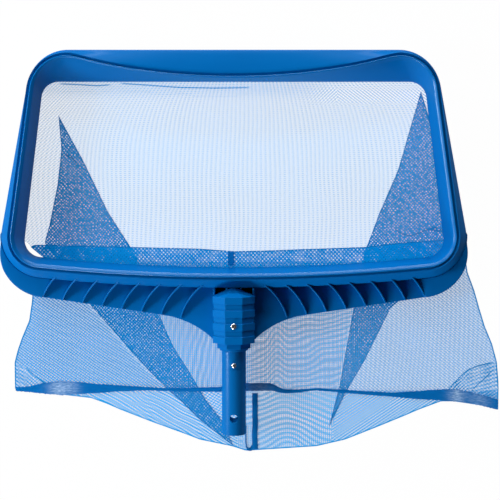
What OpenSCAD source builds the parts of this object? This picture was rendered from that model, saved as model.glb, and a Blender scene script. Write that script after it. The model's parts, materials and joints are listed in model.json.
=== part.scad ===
// Deep-bag leaf skimmer net for a swimming pool, with a plug-in handle for a telescopic pole.
// Millimetres. The origin is on the handle tube's axis at its open end. +Y runs along the tube
// to the leading edge, +X is to the right and +Z points out of the mouth. The net lies folded
// flat under the frame, as it does when the head is put down.

/* [Mouth] */
// Clear length of the mouth, from its handle side to its leading side
mouth_l = 216; // [160:1:280]
// Clear width of the mouth at its leading side
mouth_w_far = 443; // [360:1:520]
// Clear width of the mouth at its handle side
mouth_w_near = 500; // [440:1:600]
// Corner radius of the mouth
mouth_corner_r = 20; // [12:1:30]
// Radius of the bowed handle side
bow_r = 2200; // [1200:50:4000]

/* [Rim] */
// Width of the rim beside the mouth at the leading side
rim_w_far = 14; // [12:0.5:24]
// Width of the rim beside the mouth at the handle side
rim_w_near = 26; // [22:0.5:40]
// Width of the rim across the handle side
rim_w_handle = 22; // [20:0.5:30]
// Width of the scraping ramp at the leading edge
ramp_w = 34; // [28:0.5:50]
// How far the clamp ring bows in at the middle of the leading side
ramp_dip = 23; // [8:0.5:24]
// Height of the hoop from its foot to its top edge
hoop_h = 40; // [34:0.5:52]
// Height of the sloped shoulder along the sides
shoulder_h = 15; // [8:0.5:18]
// Height that the ramp falls to the leading edge
ramp_fall = 7; // [3:0.5:12]
// Wall of the mouldings
wall = 2.6; // [2:0.1:3]
// Gap of the shadow line between the hoop and the clamp ring
shadow_gap = 1.6; // [1.4:0.1:3.4]
// Depth of the shadow line
shadow_depth = 11; // [6:0.5:14]
// From the mouth to the shadow line at the sides' leading end
lip_far = 8; // [5:0.5:8]
// From the mouth to the shadow line at the sides' handle end
lip_near = 11; // [9:0.5:13]
// From the mouth to the shadow line at the leading corners
lip_leading = 27.5; // [24:0.5:30]
// From the mouth to the shadow line across the handle side
lip_handle = 9; // [7:0.5:9]

/* [Yoke] */
// Depth of the apron beyond the hoop, its edge carried on to the axis
apron_d = 45.6; // [38:0.1:52]
// Fall of the apron's edge towards the collar, in degrees
apron_slope = 8.5; // [4:0.5:12]
// Radius of the sweep from the apron's edge into the collar
sweep_r = 105; // [70:1:130]
// Steepest angle of the sweep, where it meets the collar
sweep_angle = 45; // [30:1:50]
// Outer corner radius of the apron
apron_corner_r = 52.4; // [46:0.1:60]
// Thickness of the apron's web
web_t = 3; // [2:0.1:4.5]
// Ribs on each side of the collar
rib_count = 8; // [4:1:10]
// Distance from the axis to the first rib's root
rib_first = 37; // [32:0.5:42]
// Pitch of the ribs' roots
rib_pitch = 24.2; // [20:0.1:25]
// How far a rib's foot lies outward of its root, beside the collar
rib_throw = 25; // [16:0.5:28]
// Radius of a rib's curve
rib_r = 78; // [48:1:80]
// Thickness of a rib
rib_t = 1.9; // [1.4:0.1:2.6]
// Fall of the ribs from the hoop to the apron's edge, in degrees
rib_slope = 12; // [12:0.5:20]

/* [Collar] */
// Collar size across its flats
collar_af = 48.5; // [44:0.5:58]
// Length of the banded collar
collar_l = 54; // [46:0.5:70]
// Raised bands round the collar
band_count = 4; // [3:1:5]
// Depth of the grooves between the bands
band_depth = 1; // [0.6:0.1:1.6]
// Length of the tapered nose that joins the hoop
nose_l = 9; // [6:0.5:16]
// Length of the stepped-down end of the collar
neck_l = 9.5; // [7:0.5:14]

/* [Handle tube] */
// Outer diameter of the tube, to slide into a 1 1/4 inch pole
tube_d = 28; // [24:0.1:30]
// Wall of the tube
tube_wall = 1.4; // [1:0.1:2]
// Length of tube that stands out of the collar
tube_out = 99; // [94:1:180]
// Depth of the socket in the collar
socket_l = 57; // [40:1:58]
// Diameter of the cross hole at the open end
cross_hole_d = 9.4; // [6:0.1:10]
// Distance of the cross hole from the open end
cross_hole_y = 20.7; // [12:0.1:26]
// Width of the line rolled round the tube outside the buttons
line_w = 0.8; // [0.6:0.1:1.2]
// Depth of that line
line_d = 0.25; // [0.2:0.05:0.3]

/* [Snap buttons] */
// Diameter of a button
button_d = 6.4; // [5:0.1:7]
// Height of a button above the tube
button_h = 3.6; // [2.5:0.1:4]
// Distance from the collar to the buttons
button_back = 16; // [10:0.5:26]
// Length of the spring's legs
spring_l = 40; // [30:1:46]
// Width of the spring
spring_w = 8; // [6:0.5:10]
// Thickness of the spring
spring_t = 0.7; // [0.5:0.1:1]

/* [Screw] */
// Head diameter of the collar screw
screw_head_d = 6.8; // [5.6:0.1:7.6]
// Shank diameter of the collar screw
screw_d = 3.5; // [3:0.1:4]

/* [Net] */
// Thickness that one layer of net takes up
net_t = 0.6; // [0.4:0.1:0.8]
// Spare height between two layers
net_gap = 0.3; // [0.2:0.05:0.6]
// Distance from the mouth's handle side to the bag's bottom seam
bag_l = 147; // [110:1:180]
// Length of the folded tail beyond the bottom seam, at its tip
tail_l = 73; // [40:1:90]
// Width of the bag at its left corner, from the axis
bag_w_left = 260; // [240:1:290]
// Width of the bag at its right corner, from the axis
bag_w_right = 314; // [280:1:340]
// Depth of the folded hem inside the handle side of the mouth
hem_fold = 20; // [12:0.5:26]
// Width of the seam tapes
tape_w = 7; // [5:0.5:10]
// Diameter of the hem's cord
cord_d = 2.8; // [2:0.1:3]

/* [Hidden] */
$fn = 64;
eps = 0.01;

BODY = "#005cae";
RIM = "#0067bd";
TUBE = "#0061b4";
STEEL = "#c9ccd0";
NET = "#7fa6d8";
NET_DARK = "#2d6cb4";

// Stations round each rail of the hoop, on its right half.
bow_n = 7;
near_n = 8;
far_n = 8;
dip_n = 9;

// Places along Y, counted from the open end of the tube.
collar_y = tube_out + neck_l;
nose_y = collar_y + collar_l;
hoop_near_y = nose_y + nose_l;
mouth_near_y = hoop_near_y + rim_w_handle;
mouth_far_y = mouth_near_y + mouth_l;
button_y = tube_out - button_back;
screw_y = collar_y + collar_l * 0.39;
line_y = button_y - 5;
seam_y = mouth_near_y - bag_l;
tip_y = seam_y - tail_l;

// Heights, counted from the tube's axis.
foot_z = -collar_af / 2 + 0.4;
top_z = foot_z + hoop_h;
knee_z = top_z - shoulder_h;
ramp_z = top_z - ramp_fall;
seat_z = top_z - shadow_depth;
web_z = knee_z - 14.5;
// Tops of the net's layers, from the hem band down to the back panel.
layer = net_t + net_gap;
hem_z = foot_z - 0.3;
hem_fold_z = hem_z - layer;
front_z = hem_fold_z - layer;
fold_z = front_z - layer;
back_z = fold_z - layer;

// Rails: half width at the far and near lines of the mouth, far and near Y, and corner radii.
MOUTH = [mouth_w_far / 2, mouth_w_near / 2, mouth_far_y, mouth_near_y,
         mouth_corner_r, mouth_corner_r];
LIP = [MOUTH[0] + lip_far, MOUTH[1] + lip_near, mouth_far_y + min(lip_leading, ramp_w - 7),
       mouth_near_y - lip_handle, mouth_corner_r + 23, mouth_corner_r + 15];
OUTER = [MOUTH[0] + rim_w_far, MOUTH[1] + rim_w_near, mouth_far_y + ramp_w, hoop_near_y,
         mouth_corner_r + 30, mouth_corner_r + 28];

// A rail moved outwards: s at the sides, f at the leading side, h at the handle side.
function grown(rail, s, f, h) =
    [rail[0] + s, rail[1] + s, rail[2] + f, rail[3] - h, rail[4] + s, rail[5] + s];

function lean(rail) = (rail[1] - rail[0]) / mouth_l;
function near_bow(rail) = bow_r - (mouth_near_y - rail[3]);
function near_centre(rail) =
    let (t = lean(rail), r = rail[5], big = near_bow(rail), yb = rail[3] + big,
         a = rail[0] + t * mouth_far_y - r / cos(atan(t)),
         qa = 1 + t * t, qb = -2 * (a * t + yb), qc = a * a + yb * yb - pow(big - r, 2),
         y = (-qb - sqrt(qb * qb - 4 * qa * qc)) / (2 * qa))
    [a - t * y, y];
function far_centre(rail) =
    let (t = lean(rail), y = rail[2] - rail[4])
    [rail[0] + t * (mouth_far_y - y) - rail[4] / cos(atan(t)), y];
function on_arc(c, r, a) = [c[0] + r * cos(a), c[1] + r * sin(a)];

// How far the leading side bows in at a share u of its half length.
function dip_share(u) = (1 - u * u) * (1 - pow(u, 14));

// Right half of a rail, from the middle of the handle side to the middle of the leading side.
function half_rail(rail, dip) =
    let (side = atan(lean(rail)), nc = near_centre(rail), fc = far_centre(rail),
         big = near_bow(rail), bow = asin(nc[0] / (big - rail[5])))
    concat(
        [for (i = [0 : bow_n - 1]) on_arc([0, rail[3] + big], big, -90 + bow * i / bow_n)],
        [for (i = [0 : near_n]) on_arc(nc, rail[5], -90 + bow + (90 - bow + side) * i / near_n)],
        [for (i = [0 : far_n]) on_arc(fc, rail[4], side + (90 - side) * i / far_n)],
        [for (i = [1 : dip_n]) let (u = 1 - i / dip_n)
            [fc[0] * u, rail[2] - dip * dip_share(u)]]);

half_n = bow_n + near_n + 1 + far_n + 1 + dip_n;

// Share of the way from the handle side and sides to the leading side, for each station.
function ramp_share(i) =
    let (k = i - bow_n - near_n - 1) k <= 0 ? 0 : k >= far_n ? 1 : pow(sin(90 * k / far_n), 2);

// A closed rail with its heights: z along the sides and z_far along the leading side.
function loop(rail, dip, z, z_far) =
    let (half = half_rail(rail, dip),
         right = [for (i = [0 : half_n - 1])
             [half[i][0], half[i][1], z + (z_far - z) * ramp_share(i)]])
    concat(right, [for (i = [half_n - 2 : -1 : 1]) [-right[i][0], right[i][1], right[i][2]]]);

// A closed ring through a list of loops, taken clockwise round the section.
module ring(loops) {
    n = len(loops[0]);
    m = len(loops);
    faces = [for (j = [0 : m - 1]) for (i = [0 : n - 1]) for (k = [0, 1])
        let (p = j * n + i, q = j * n + (i + 1) % n,
             r = ((j + 1) % m) * n + i, s = ((j + 1) % m) * n + (i + 1) % n)
        k == 0 ? [p, q, s] : [p, s, r]];
    polyhedron([for (l = loops) each l], faces, convexity = 6);
}

// The hoop: sloped shoulder, outer skirt and a ledge that carries the clamp ring.
module frame_hoop() {
    g = shadow_gap;
    inner = grown(LIP, g, g, g);
    leg = grown(LIP, g + wall, g + wall, g + wall);
    inside = grown(OUTER, -wall - 0.6, -wall - 0.6, -wall - 0.6);
    color(BODY) ring([
        loop(inner, ramp_dip, seat_z, seat_z),
        loop(inner, ramp_dip, top_z - 0.8, top_z - 0.8),
        loop(grown(inner, 0.3, 0.3, 0.3), ramp_dip, top_z - 0.2, top_z - 0.2),
        loop(grown(inner, 1, 1, 1), ramp_dip, top_z, top_z),
        loop(grown(OUTER, -1.2, -1.4, -1.2), 0, knee_z + 1.6, ramp_z + 0.3),
        loop(grown(OUTER, -0.3, -0.4, -0.3), 0, knee_z + 0.5, ramp_z - 0.3),
        loop(OUTER, 0, knee_z - 0.8, ramp_z - 1.4),
        loop(grown(OUTER, -0.6, -0.6, -0.6), 0, foot_z, foot_z),
        loop(inside, 0, foot_z, foot_z),
        loop(inside, 0, knee_z - wall, ramp_z - wall - 1),
        loop(leg, ramp_dip, top_z - wall - 1.2, top_z - wall - 0.6),
        loop(leg, ramp_dip, seat_z - wall, seat_z - wall),
        loop(grown(LIP, -2.1, -0.1, -2.1), ramp_dip, seat_z - wall, seat_z - wall),
        loop(grown(LIP, -2.1, -0.1, -2.1), ramp_dip, seat_z, seat_z)]);
}

// The hem's channel in the clamp ring: back wall, width, outer lip and heights.
channel_in = 3.1;
channel_w = cord_d + 0.5;
channel_lip = 2;
channel_out = channel_in + channel_w + channel_lip;
channel_floor = foot_z + 2;
channel_top = channel_floor + 5;

// A rail moved outwards by the same amount all round.
function grown_by(rail, d) = grown(rail, d, d, d);

// The clamp ring: rounded crest, funnel wall down to the mouth, and the hem's channel.
module clamp_ring() {
    crest = top_z + 1.4;
    color(RIM) ring([
        loop(MOUTH, 0, foot_z, foot_z),
        loop(grown(MOUTH, 0.7, 0.7, 0.4), 0, foot_z + 6, foot_z + 4),
        loop(grown(LIP, -4.7, -2.3, -5.0), ramp_dip, crest - 3.6, crest - 2.2),
        loop(grown(LIP, -4.2, -2.0, -4.5), ramp_dip, crest - 1.7, crest - 1.1),
        loop(grown(LIP, -3.3, -1.6, -3.6), ramp_dip, crest - 0.5, crest - 0.3),
        loop(grown(LIP, -2.1, -1.1, -2.3), ramp_dip, crest, crest),
        loop(grown(LIP, -0.8, -0.5, -0.9), ramp_dip, crest - 0.5, crest - 0.3),
        loop(LIP, ramp_dip, crest - 1.7, crest - 1.3),
        loop(LIP, ramp_dip, seat_z, seat_z),
        loop(grown(LIP, -2.6, -0.3, -2.6), ramp_dip, seat_z, seat_z),
        loop(grown(LIP, -2.7, -0.5, -2.7), ramp_dip, seat_z - 3, seat_z - 3),
        loop(grown_by(MOUTH, channel_in), 0, channel_top, channel_top),
        loop(grown_by(MOUTH, channel_in), 0, channel_floor, channel_floor),
        loop(grown_by(MOUTH, channel_in + channel_w), 0, channel_floor, channel_floor),
        loop(grown_by(MOUTH, channel_in + channel_w), 0, channel_top, channel_top),
        loop(grown_by(MOUTH, channel_out), 0, channel_top, channel_top),
        loop(grown_by(MOUTH, channel_out), 0, foot_z, foot_z)]);
}

// Cord inside the net's hem, pressed into the clamp ring's channel.
module hem_cord() {
    r = cord_d / 2;
    mid = channel_in + channel_w / 2;
    z = channel_floor + 0.2 + r;
    color(NET_DARK) ring([for (i = [0 : 7])
        let (a = 157.5 - 45 * i)
            loop(grown_by(MOUTH, mid + r * cos(a)), 0, z + r * sin(a), z + r * sin(a))]);
}

// Woven hem that wraps the channel's outer lip from below and ends over the cord.
module hem_band() {
    inside = -1;
    out = channel_out + 0.3;
    top = channel_top + 0.3;
    over = channel_in + channel_w / 2 - 0.3;
    color(NET_DARK) ring([
        loop(grown_by(MOUTH, inside), 0, hem_z - net_t, hem_z - net_t),
        loop(grown_by(MOUTH, inside), 0, hem_z, hem_z),
        loop(grown_by(MOUTH, out), 0, hem_z, hem_z),
        loop(grown_by(MOUTH, out), 0, top, top),
        loop(grown_by(MOUTH, over), 0, top, top),
        loop(grown_by(MOUTH, over), 0, top + net_t, top + net_t),
        loop(grown_by(MOUTH, out + net_t), 0, top + net_t, top + net_t),
        loop(grown_by(MOUTH, out + net_t), 0, hem_z - net_t, hem_z - net_t)]);
}

// Room between two mouldings that meet.
fit_gap = 0.3;

// The apron's free edge on the right: sweep from the collar, straight fall, then the corner,
// which dives under the hoop's side.
function edge_y(x) = hoop_near_y - apron_d + x * tan(apron_slope);
sweep_x = collar_af / 2 - 1 + sweep_r * (sin(sweep_angle) - sin(apron_slope));
sweep_c = [sweep_x + sweep_r * sin(apron_slope), edge_y(sweep_x) - sweep_r * cos(apron_slope)];
corner_side = atan(lean(OUTER));
corner_in = 1.4;
corner_c =
    let (t = lean(OUTER), r = apron_corner_r,
         x0 = OUTER[0] - corner_in + t * mouth_far_y - r / cos(corner_side),
         y = (edge_y(x0) + r / cos(apron_slope)) / (1 + tan(apron_slope) * t))
    [x0 - t * y, y];
apron_edge = concat(
    [for (i = [0 : 10]) on_arc(sweep_c, sweep_r,
        90 + sweep_angle + (apron_slope - sweep_angle) * i / 10)],
    [for (i = [0 : 10]) on_arc(corner_c, apron_corner_r,
        -90 + apron_slope + (90 - apron_slope + corner_side) * i / 10)]);

module apron_2d() {
    n = len(apron_edge);
    difference() {
        polygon(concat(apron_edge, [for (i = [n - 1 : -1 : 0]) [-apron_edge[i][0], apron_edge[i][1]]]));
        polygon([for (p = loop(grown_by(OUTER, fit_gap), 0, 0, 0)) [p[0], p[1]]]);
    }
}

// One rib's curve, from its root at the hoop to its foot on the apron's edge.
function rib_root(i) = [rib_first + rib_pitch * i, hoop_near_y + 3.5 + 11 * i / rib_count];
function rib_foot(i) =
    let (x = rib_root(i)[0] + rib_throw * (1 - 0.05 * i)) [x + 1, edge_y(x) - 2.5];
function rib_arc(i, r) =
    let (a = rib_root(i), b = rib_foot(i), d = b - a, l = norm(d),
         h = sqrt(max(rib_r * rib_r - l * l / 4, 0)),
         c = (a + b) / 2 + [d[1], -d[0]] / l * h,
         a0 = atan2(a[1] - c[1], a[0] - c[0]), a1 = atan2(b[1] - c[1], b[0] - c[0]))
    [for (k = [0 : 6]) on_arc(c, r, a0 + (a1 - a0) * k / 6)];

module rib_2d(i) {
    inner = rib_arc(i, rib_r - rib_t / 2);
    polygon(concat(rib_arc(i, rib_r + rib_t / 2), [for (k = [6 : -1 : 0]) inner[k]]));
}

// Everything below the sloping top of the ribs.
module below_slope() {
    translate([0, hoop_near_y + 6, knee_z - 1])
        rotate([rib_slope, 0, 0])
            translate([-400, -200, -60])
                cube([800, 260, 60]);
}

// The ribs on the right, with the plain corner outside the last of them.
module ribs_2d() {
    last = rib_arc(rib_count - 1, rib_r);
    far_y = hoop_near_y + 90;
    for (i = [0 : rib_count - 1])
        rib_2d(i);
    polygon(concat([[400, far_y], [last[0][0], far_y]], last, [[400, last[6][1]]]));
}

module apron() {
    translate([0, 0, web_z])
        linear_extrude(web_t)
            apron_2d();
    intersection() {
        translate([0, 0, web_z + eps])
            linear_extrude(knee_z - 1 - web_z)
                intersection() {
                    apron_2d();
                    union() {
                        ribs_2d();
                        mirror([1, 0, 0])
                            ribs_2d();
                    }
                }
        below_slope();
    }
}

// A closed eight-sided bar along Y through a list of [y, size across flats].
module octagon_bar(stations) {
    m = len(stations);
    points = [for (t = stations) for (k = [0 : 7])
        let (r = t[1] / 2 / cos(22.5), a = 22.5 + 45 * k) [r * cos(a), t[0], r * sin(a)]];
    sides = [for (j = [0 : m - 2]) for (k = [0 : 7])
        let (p = 8 * j + k, q = 8 * j + (k + 1) % 8) [p, q, q + 8, p + 8]];
    polyhedron(points, concat([[for (k = [7 : -1 : 0]) k]], sides,
        [[for (k = [0 : 7]) 8 * (m - 1) + k]]), convexity = 6);
}

// The collar with its raised bands, tapered nose and stepped neck.
module collar_solid() {
    band_share = 0.54;
    pitch = collar_l / (band_count - 1 + band_share);
    band = pitch * band_share;
    bevel = 0.6;
    core = collar_af - 2 * band_depth;
    lip_l = 3;
    octagon_bar(concat(
        [[tube_out + lip_l, collar_af - 10], [collar_y - bevel, collar_af - 10]],
        [for (i = [0 : band_count - 1]) for (s = [
            [0, i == 0 ? collar_af - 2 * bevel : core], [bevel, collar_af],
            [band - bevel, collar_af], [band, i == band_count - 1 ? collar_af - 2 * bevel : core]])
            [collar_y + pitch * i + s[0], s[1]]],
        [[nose_y + nose_l - fit_gap, 7]]));
    translate([0, tube_out, 0])
        rotate([-90, 0, 0])
            cylinder(h = lip_l + 0.2, r = tube_d / 2 + 2.6);
}

// The walls that tie the collar's sides and nose to the hoop.
module nose_walls() {
    side_x = collar_af / 2 - 0.4;
    fin_t = 1.6;
    fin_x = collar_af * 0.165;
    fin_y = nose_y + nose_l * 0.45;
    end_y = hoop_near_y - fit_gap;
    for (x = [-side_x, side_x - wall])
        translate([x, nose_y - 1.5, web_z + 0.2])
            cube([wall, end_y - nose_y + 1.5, knee_z - web_z - 1.4]);
    for (x = [-fin_x, fin_x])
        translate([x - fin_t / 2, fin_y, web_z + 0.2])
            cube([fin_t, end_y - fin_y, knee_z - web_z - 2.4]);
}

module handle_yoke() {
    color(BODY) difference() {
        union() {
            apron();
            collar_solid();
            nose_walls();
        }
        translate([0, tube_out - 1, 0])
            rotate([-90, 0, 0])
                cylinder(h = socket_l + 1 + fit_gap, r = tube_d / 2 + 0.05);
        translate([0, screw_y, 0])
            cylinder(h = collar_af, r = screw_d / 2 + 0.05);
    }
}

// Coated aluminium tube that the pole slides over, with a line where the pole's holes pass.
module handle_tube() {
    l = tube_out + socket_l;
    color(TUBE) difference() {
        rotate([-90, 0, 0])
            cylinder(h = l, r = tube_d / 2);
        translate([0, -1, 0])
            rotate([-90, 0, 0])
                cylinder(h = l + 2, r = tube_d / 2 - tube_wall);
        translate([0, line_y - line_w / 2, 0])
            rotate([-90, 0, 0])
                difference() {
                    cylinder(h = line_w, r = tube_d / 2 + 1);
                    translate([0, 0, -1])
                        cylinder(h = line_w + 2, r = tube_d / 2 - line_d);
                }
        translate([0, cross_hole_y, -tube_d])
            cylinder(h = 2 * tube_d, r = cross_hole_d / 2);
        translate([0, button_y, -tube_d])
            cylinder(h = 2 * tube_d, r = button_d / 2 + 0.08);
        translate([0, screw_y, 0])
            cylinder(h = tube_d, r = screw_d / 2 + 0.05);
    }
}

// Pan-head tapping screw through the collar into the tube.
module collar_screw() {
    head_h = 2.2;
    seat = collar_af / 2;
    dome_r = (pow(screw_head_d / 2, 2) + head_h * head_h) / (2 * head_h);
    tip = tube_d / 2 - tube_wall - 2.5;
    color(STEEL) difference() {
        union() {
            translate([0, screw_y, tip])
                cylinder(h = seat - tip + eps, r = screw_d / 2);
            translate([0, screw_y, seat])
                intersection() {
                    cylinder(h = head_h, r = screw_head_d / 2);
                    translate([0, 0, head_h - dome_r])
                        sphere(r = dome_r);
                }
        }
        translate([0, screw_y, seat + 0.9])
            cylinder(h = head_h, r = screw_head_d * 0.2, $fn = 6);
    }
}

// One snap button: domed pin with a flange that stays inside the tube.
flange_r = button_d / 2 + 1.1;
flange_t = 1;
flange_top = sqrt(pow(tube_d / 2 - tube_wall, 2) - pow(flange_r, 2)) - 0.15;

module button() {
    r = button_d / 2;
    top = tube_d / 2 + button_h;
    translate([0, 0, flange_top - flange_t])
        cylinder(h = flange_t, r = flange_r);
    translate([0, 0, flange_top - eps])
        cylinder(h = top - r * 0.8 - flange_top + eps, r = r);
    translate([0, 0, top - r])
        intersection() {
            sphere(r = r);
            cylinder(h = r, r = r);
        }
    translate([0, 0, top - r * 1.02])
        cylinder(h = r * 0.22, r = r);
}

module button_top() {
    color(STEEL) translate([0, button_y, 0])
        button();
}

module button_bottom() {
    color(STEEL) translate([0, button_y, 0])
        mirror([0, 0, 1])
            button();
}

// Folded spring strip inside the tube, with its bend towards the collar.
module button_spring() {
    leg_z = flange_top - flange_t - 0.2;
    bend = [button_y + spring_l, 0];
    tip = [button_y - 5, leg_z];
    flat = [button_y + 5, leg_z];
    color(STEEL) translate([-spring_w / 2, 0, 0])
        rotate([90, 0, 90])
            linear_extrude(spring_w)
                polygon([
                    tip, flat, bend + [1, 0], [flat[0], -leg_z], [tip[0], -leg_z],
                    [tip[0], -leg_z + spring_t], [flat[0] - 0.2, -leg_z + spring_t],
                    bend + [-1.6, 0], [flat[0] - 0.2, leg_z - spring_t], [tip[0], leg_z - spring_t]]);
}

// Bag, folded flat. Its outline in plan is counted from the bottom seam, and from the bag's
// corners or the mouth's sides where it follows those.
side_x = mouth_w_near / 2 + 4;
back_y = mouth_far_y + 7;
LEFT_EDGE = [[-side_x + 17, seam_y + 125], [-side_x + 15.5, seam_y + 105.5],
             [-side_x + 12, seam_y + 83.5], [-bag_w_left + 9, seam_y + 62.5],
             [-bag_w_left + 4, seam_y + 48.5], [-bag_w_left, seam_y + 33.5],
             [-bag_w_left, seam_y + 3]];
RIGHT_EDGE = [[bag_w_right, seam_y], [bag_w_right - 3, seam_y + 34],
              [bag_w_right - 9, seam_y + 55.5], [bag_w_right - 18, seam_y + 76.5],
              [bag_w_right - 25, seam_y + 98.5], [bag_w_right - 31, seam_y + 119.5],
              [bag_w_right - 39, seam_y + 140.5], [side_x + 19, seam_y + 152]];
TAIL = [[-170, -9.5], [-151, -16.5], [-135, -23.5], [-97, -38.5], [-59, -52.5], [-41, -59.5],
        [-3, -67.5], [14, -73], [98, -67.5], [132, -59.5], [167, -45.5], [203, -30.5],
        [219, -23.5]];

// Points inside the bag's outline are drawn for a mouth 500 wide and a bag whose panels
// run 363 from the leading side to the bottom seam, with a tail of 73.
bag_kx = mouth_w_near / 500;
bag_ky = (mouth_l + bag_l) / 363;
tail_ky = tail_l / 73;
function in_bag(p) = [p[0] * bag_kx, seam_y + p[1] * (p[1] < 0 ? tail_ky : bag_ky)];

module layer_of(top) {
    translate([0, 0, top - net_t])
        linear_extrude(net_t)
            children();
}

// The panel behind the mouth. It rises to the hem along the leading side, and runs on past the
// bottom seam as the tail.
module back_panel() {
    rise_w = mouth_w_far - 40;
    color(NET) {
        layer_of(back_z)
            polygon(concat(
                [[-mouth_w_far / 2, back_y], [-side_x, mouth_near_y]],
                LEFT_EDGE,
                [[-bag_w_left + 30, seam_y - 2.5]],
                [for (p = TAIL) in_bag(p)],
                [[bag_w_right - 68.5, seam_y - 13.5], [bag_w_right - 53, seam_y - 13.5],
                 [bag_w_right, seam_y - 21.5]],
                RIGHT_EDGE,
                [[side_x, mouth_near_y + 6], [mouth_w_far / 2, back_y]]));
        translate([-rise_w / 2, mouth_far_y + 1, back_z - eps])
            cube([rise_w, net_t, hem_z - net_t - 0.2 - back_z]);
    }
}

module front_panel() {
    top_y = mouth_near_y + 6;
    color(NET) layer_of(front_z)
        polygon(concat(
            [[-side_x + 16, top_y]],
            LEFT_EDGE,
            [[-bag_w_left + 18, seam_y - 1], [bag_w_right - 60, seam_y - 2],
             [bag_w_right, seam_y - 15]],
            RIGHT_EDGE,
            [[side_x - 6, top_y]]));
}

// The front panel's top edge, turned back under the handle side of the mouth.
module hem_fold_band() {
    left_x = -mouth_w_near / 2 + 17;
    right_x = mouth_w_near / 2 - 10;
    in_y = mouth_near_y + hem_fold;
    out_y = mouth_near_y + 5;
    color(NET_DARK) layer_of(hem_fold_z)
        polygon(concat(
            [[left_x, out_y]],
            [for (p = [[-122, -5], [0, -13], [122, -8]]) [p[0] * bag_kx, out_y + p[1]]],
            [[right_x, out_y], [right_x, in_y + 10]],
            [for (p = [[154, 3.5], [42, -0.5], [0, -1.5], [-40, 1.5], [-122, 3.5]])
                [p[0] * bag_kx, in_y + p[1]]],
            [[left_x, in_y + 8]]));
}

// The bag's sides, folded inwards between the two panels.
module fold_left() {
    color(NET_DARK) layer_of(fold_z)
        polygon([for (p = [
            [-205, 324.5], [-202, 284.5], [-207, 243.5], [-217, 196.5], [-223, 175.5],
            [-161, 103.5], [-123, 60.5], [-64, -5.5], [-23, -47.5], [1, -66],
            [-15, -23.5], [-37, 6.5], [-73, 86.5], [-115, 157.5], [-122, 170.5],
            [-148, 211.5], [-177, 272.5]]) in_bag(p)]);
}

module fold_right() {
    color(NET_DARK) layer_of(fold_z)
        polygon([for (p = [
            [217, 350], [192, 260.5], [171, 211.5], [160, 181.5], [154, 166.5],
            [141, 98.5], [125, 6.5], [112, -45.5], [131, -5.5], [155, 36.5],
            [185, 98.5], [236, 170], [228, 270]]) in_bag(p)]);
}

// Tape over the seam that closes the bag's bottom, on top of the front panel.
module bottom_seam() {
    top = concat(
        [[-bag_w_left + 1, 5.5]],
        [for (p = [[-206, 2.5], [-114, 4.5], [28, 7.5], [55, 3], [183, 0]]) [p[0] * bag_kx, p[1]]],
        [[bag_w_right - 52, 1], [bag_w_right - 1, -7]]);
    n = len(top);
    color(NET_DARK) layer_of(front_z + layer)
        polygon(concat(
            [for (p = top) [p[0], seam_y + p[1]]],
            [for (i = [n - 1 : -1 : 0]) [top[i][0], seam_y + top[i][1] - tape_w]]));
}

// Tape over the lengthwise seam, from the bottom seam to the tip of the tail.
module centre_seam() {
    start_y = seam_y - tape_w / 2;
    color(NET_DARK) layer_of(back_z + layer)
        translate([24.6 - tape_w / 2, tip_y + 2])
            square([tape_w, start_y - tip_y - 2]);
}

// The same seam where it crosses the turned hem inside the mouth.
module hem_seam() {
    color(NET_DARK) translate([-3.7 - tape_w / 2, mouth_near_y + 1.5, hem_fold_z + net_gap])
        cube([tape_w, hem_fold - 4, 0.4]);
}

frame_hoop();
clamp_ring();
handle_yoke();
handle_tube();
collar_screw();
button_top();
button_bottom();
button_spring();
hem_cord();
hem_band();
back_panel();
front_panel();
hem_fold_band();
fold_left();
fold_right();
bottom_seam();
centre_seam();
hem_seam();
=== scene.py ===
"""Leaf skimmer net: hoop, clamp ring, ribbed yoke, plug-in tube and a folded mesh bag.

Sizes are written in millimetres and become metres where a mesh is made.
"""

import json
from math import asin, atan, atan2, cos, exp, hypot, pi, radians, sin, sqrt, tan

import bmesh
import bpy
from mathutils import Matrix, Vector, noise

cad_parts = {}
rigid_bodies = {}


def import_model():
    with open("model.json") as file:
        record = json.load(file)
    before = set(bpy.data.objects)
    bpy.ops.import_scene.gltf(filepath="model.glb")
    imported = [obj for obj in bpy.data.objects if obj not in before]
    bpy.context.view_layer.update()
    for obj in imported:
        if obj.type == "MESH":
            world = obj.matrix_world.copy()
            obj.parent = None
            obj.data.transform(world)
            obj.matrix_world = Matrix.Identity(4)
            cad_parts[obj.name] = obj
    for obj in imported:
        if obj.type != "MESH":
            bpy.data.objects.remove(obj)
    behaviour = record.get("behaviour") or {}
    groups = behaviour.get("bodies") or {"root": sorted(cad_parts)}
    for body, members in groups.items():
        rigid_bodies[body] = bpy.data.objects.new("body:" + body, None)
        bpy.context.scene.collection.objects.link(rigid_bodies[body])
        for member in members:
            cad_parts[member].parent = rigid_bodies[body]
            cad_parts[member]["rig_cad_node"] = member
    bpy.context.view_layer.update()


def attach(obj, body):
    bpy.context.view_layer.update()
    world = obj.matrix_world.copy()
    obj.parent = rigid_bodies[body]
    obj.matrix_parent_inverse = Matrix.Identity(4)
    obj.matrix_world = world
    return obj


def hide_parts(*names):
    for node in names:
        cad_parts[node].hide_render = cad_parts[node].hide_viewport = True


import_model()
MM = 0.001

# ---------------------------------------------------------------- studio
# A pale floor under the head, a soft lamp high on the left beyond the leading edge, long strips
# over that edge, lower lamps at the left and the handle, and a dim sky that the camera sees white.

scene = bpy.context.scene
scene.view_settings.view_transform = "Standard"

camera = bpy.data.objects.new("camera", bpy.data.cameras.new("camera"))
camera.data.lens = 86.4
camera.data.sensor_width = 36.0
camera.location = (0.018667, 0.311803, 1.381615)
camera.rotation_euler = (radians(-4), 0, 0)
scene.collection.objects.link(camera)
scene.camera = camera


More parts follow.
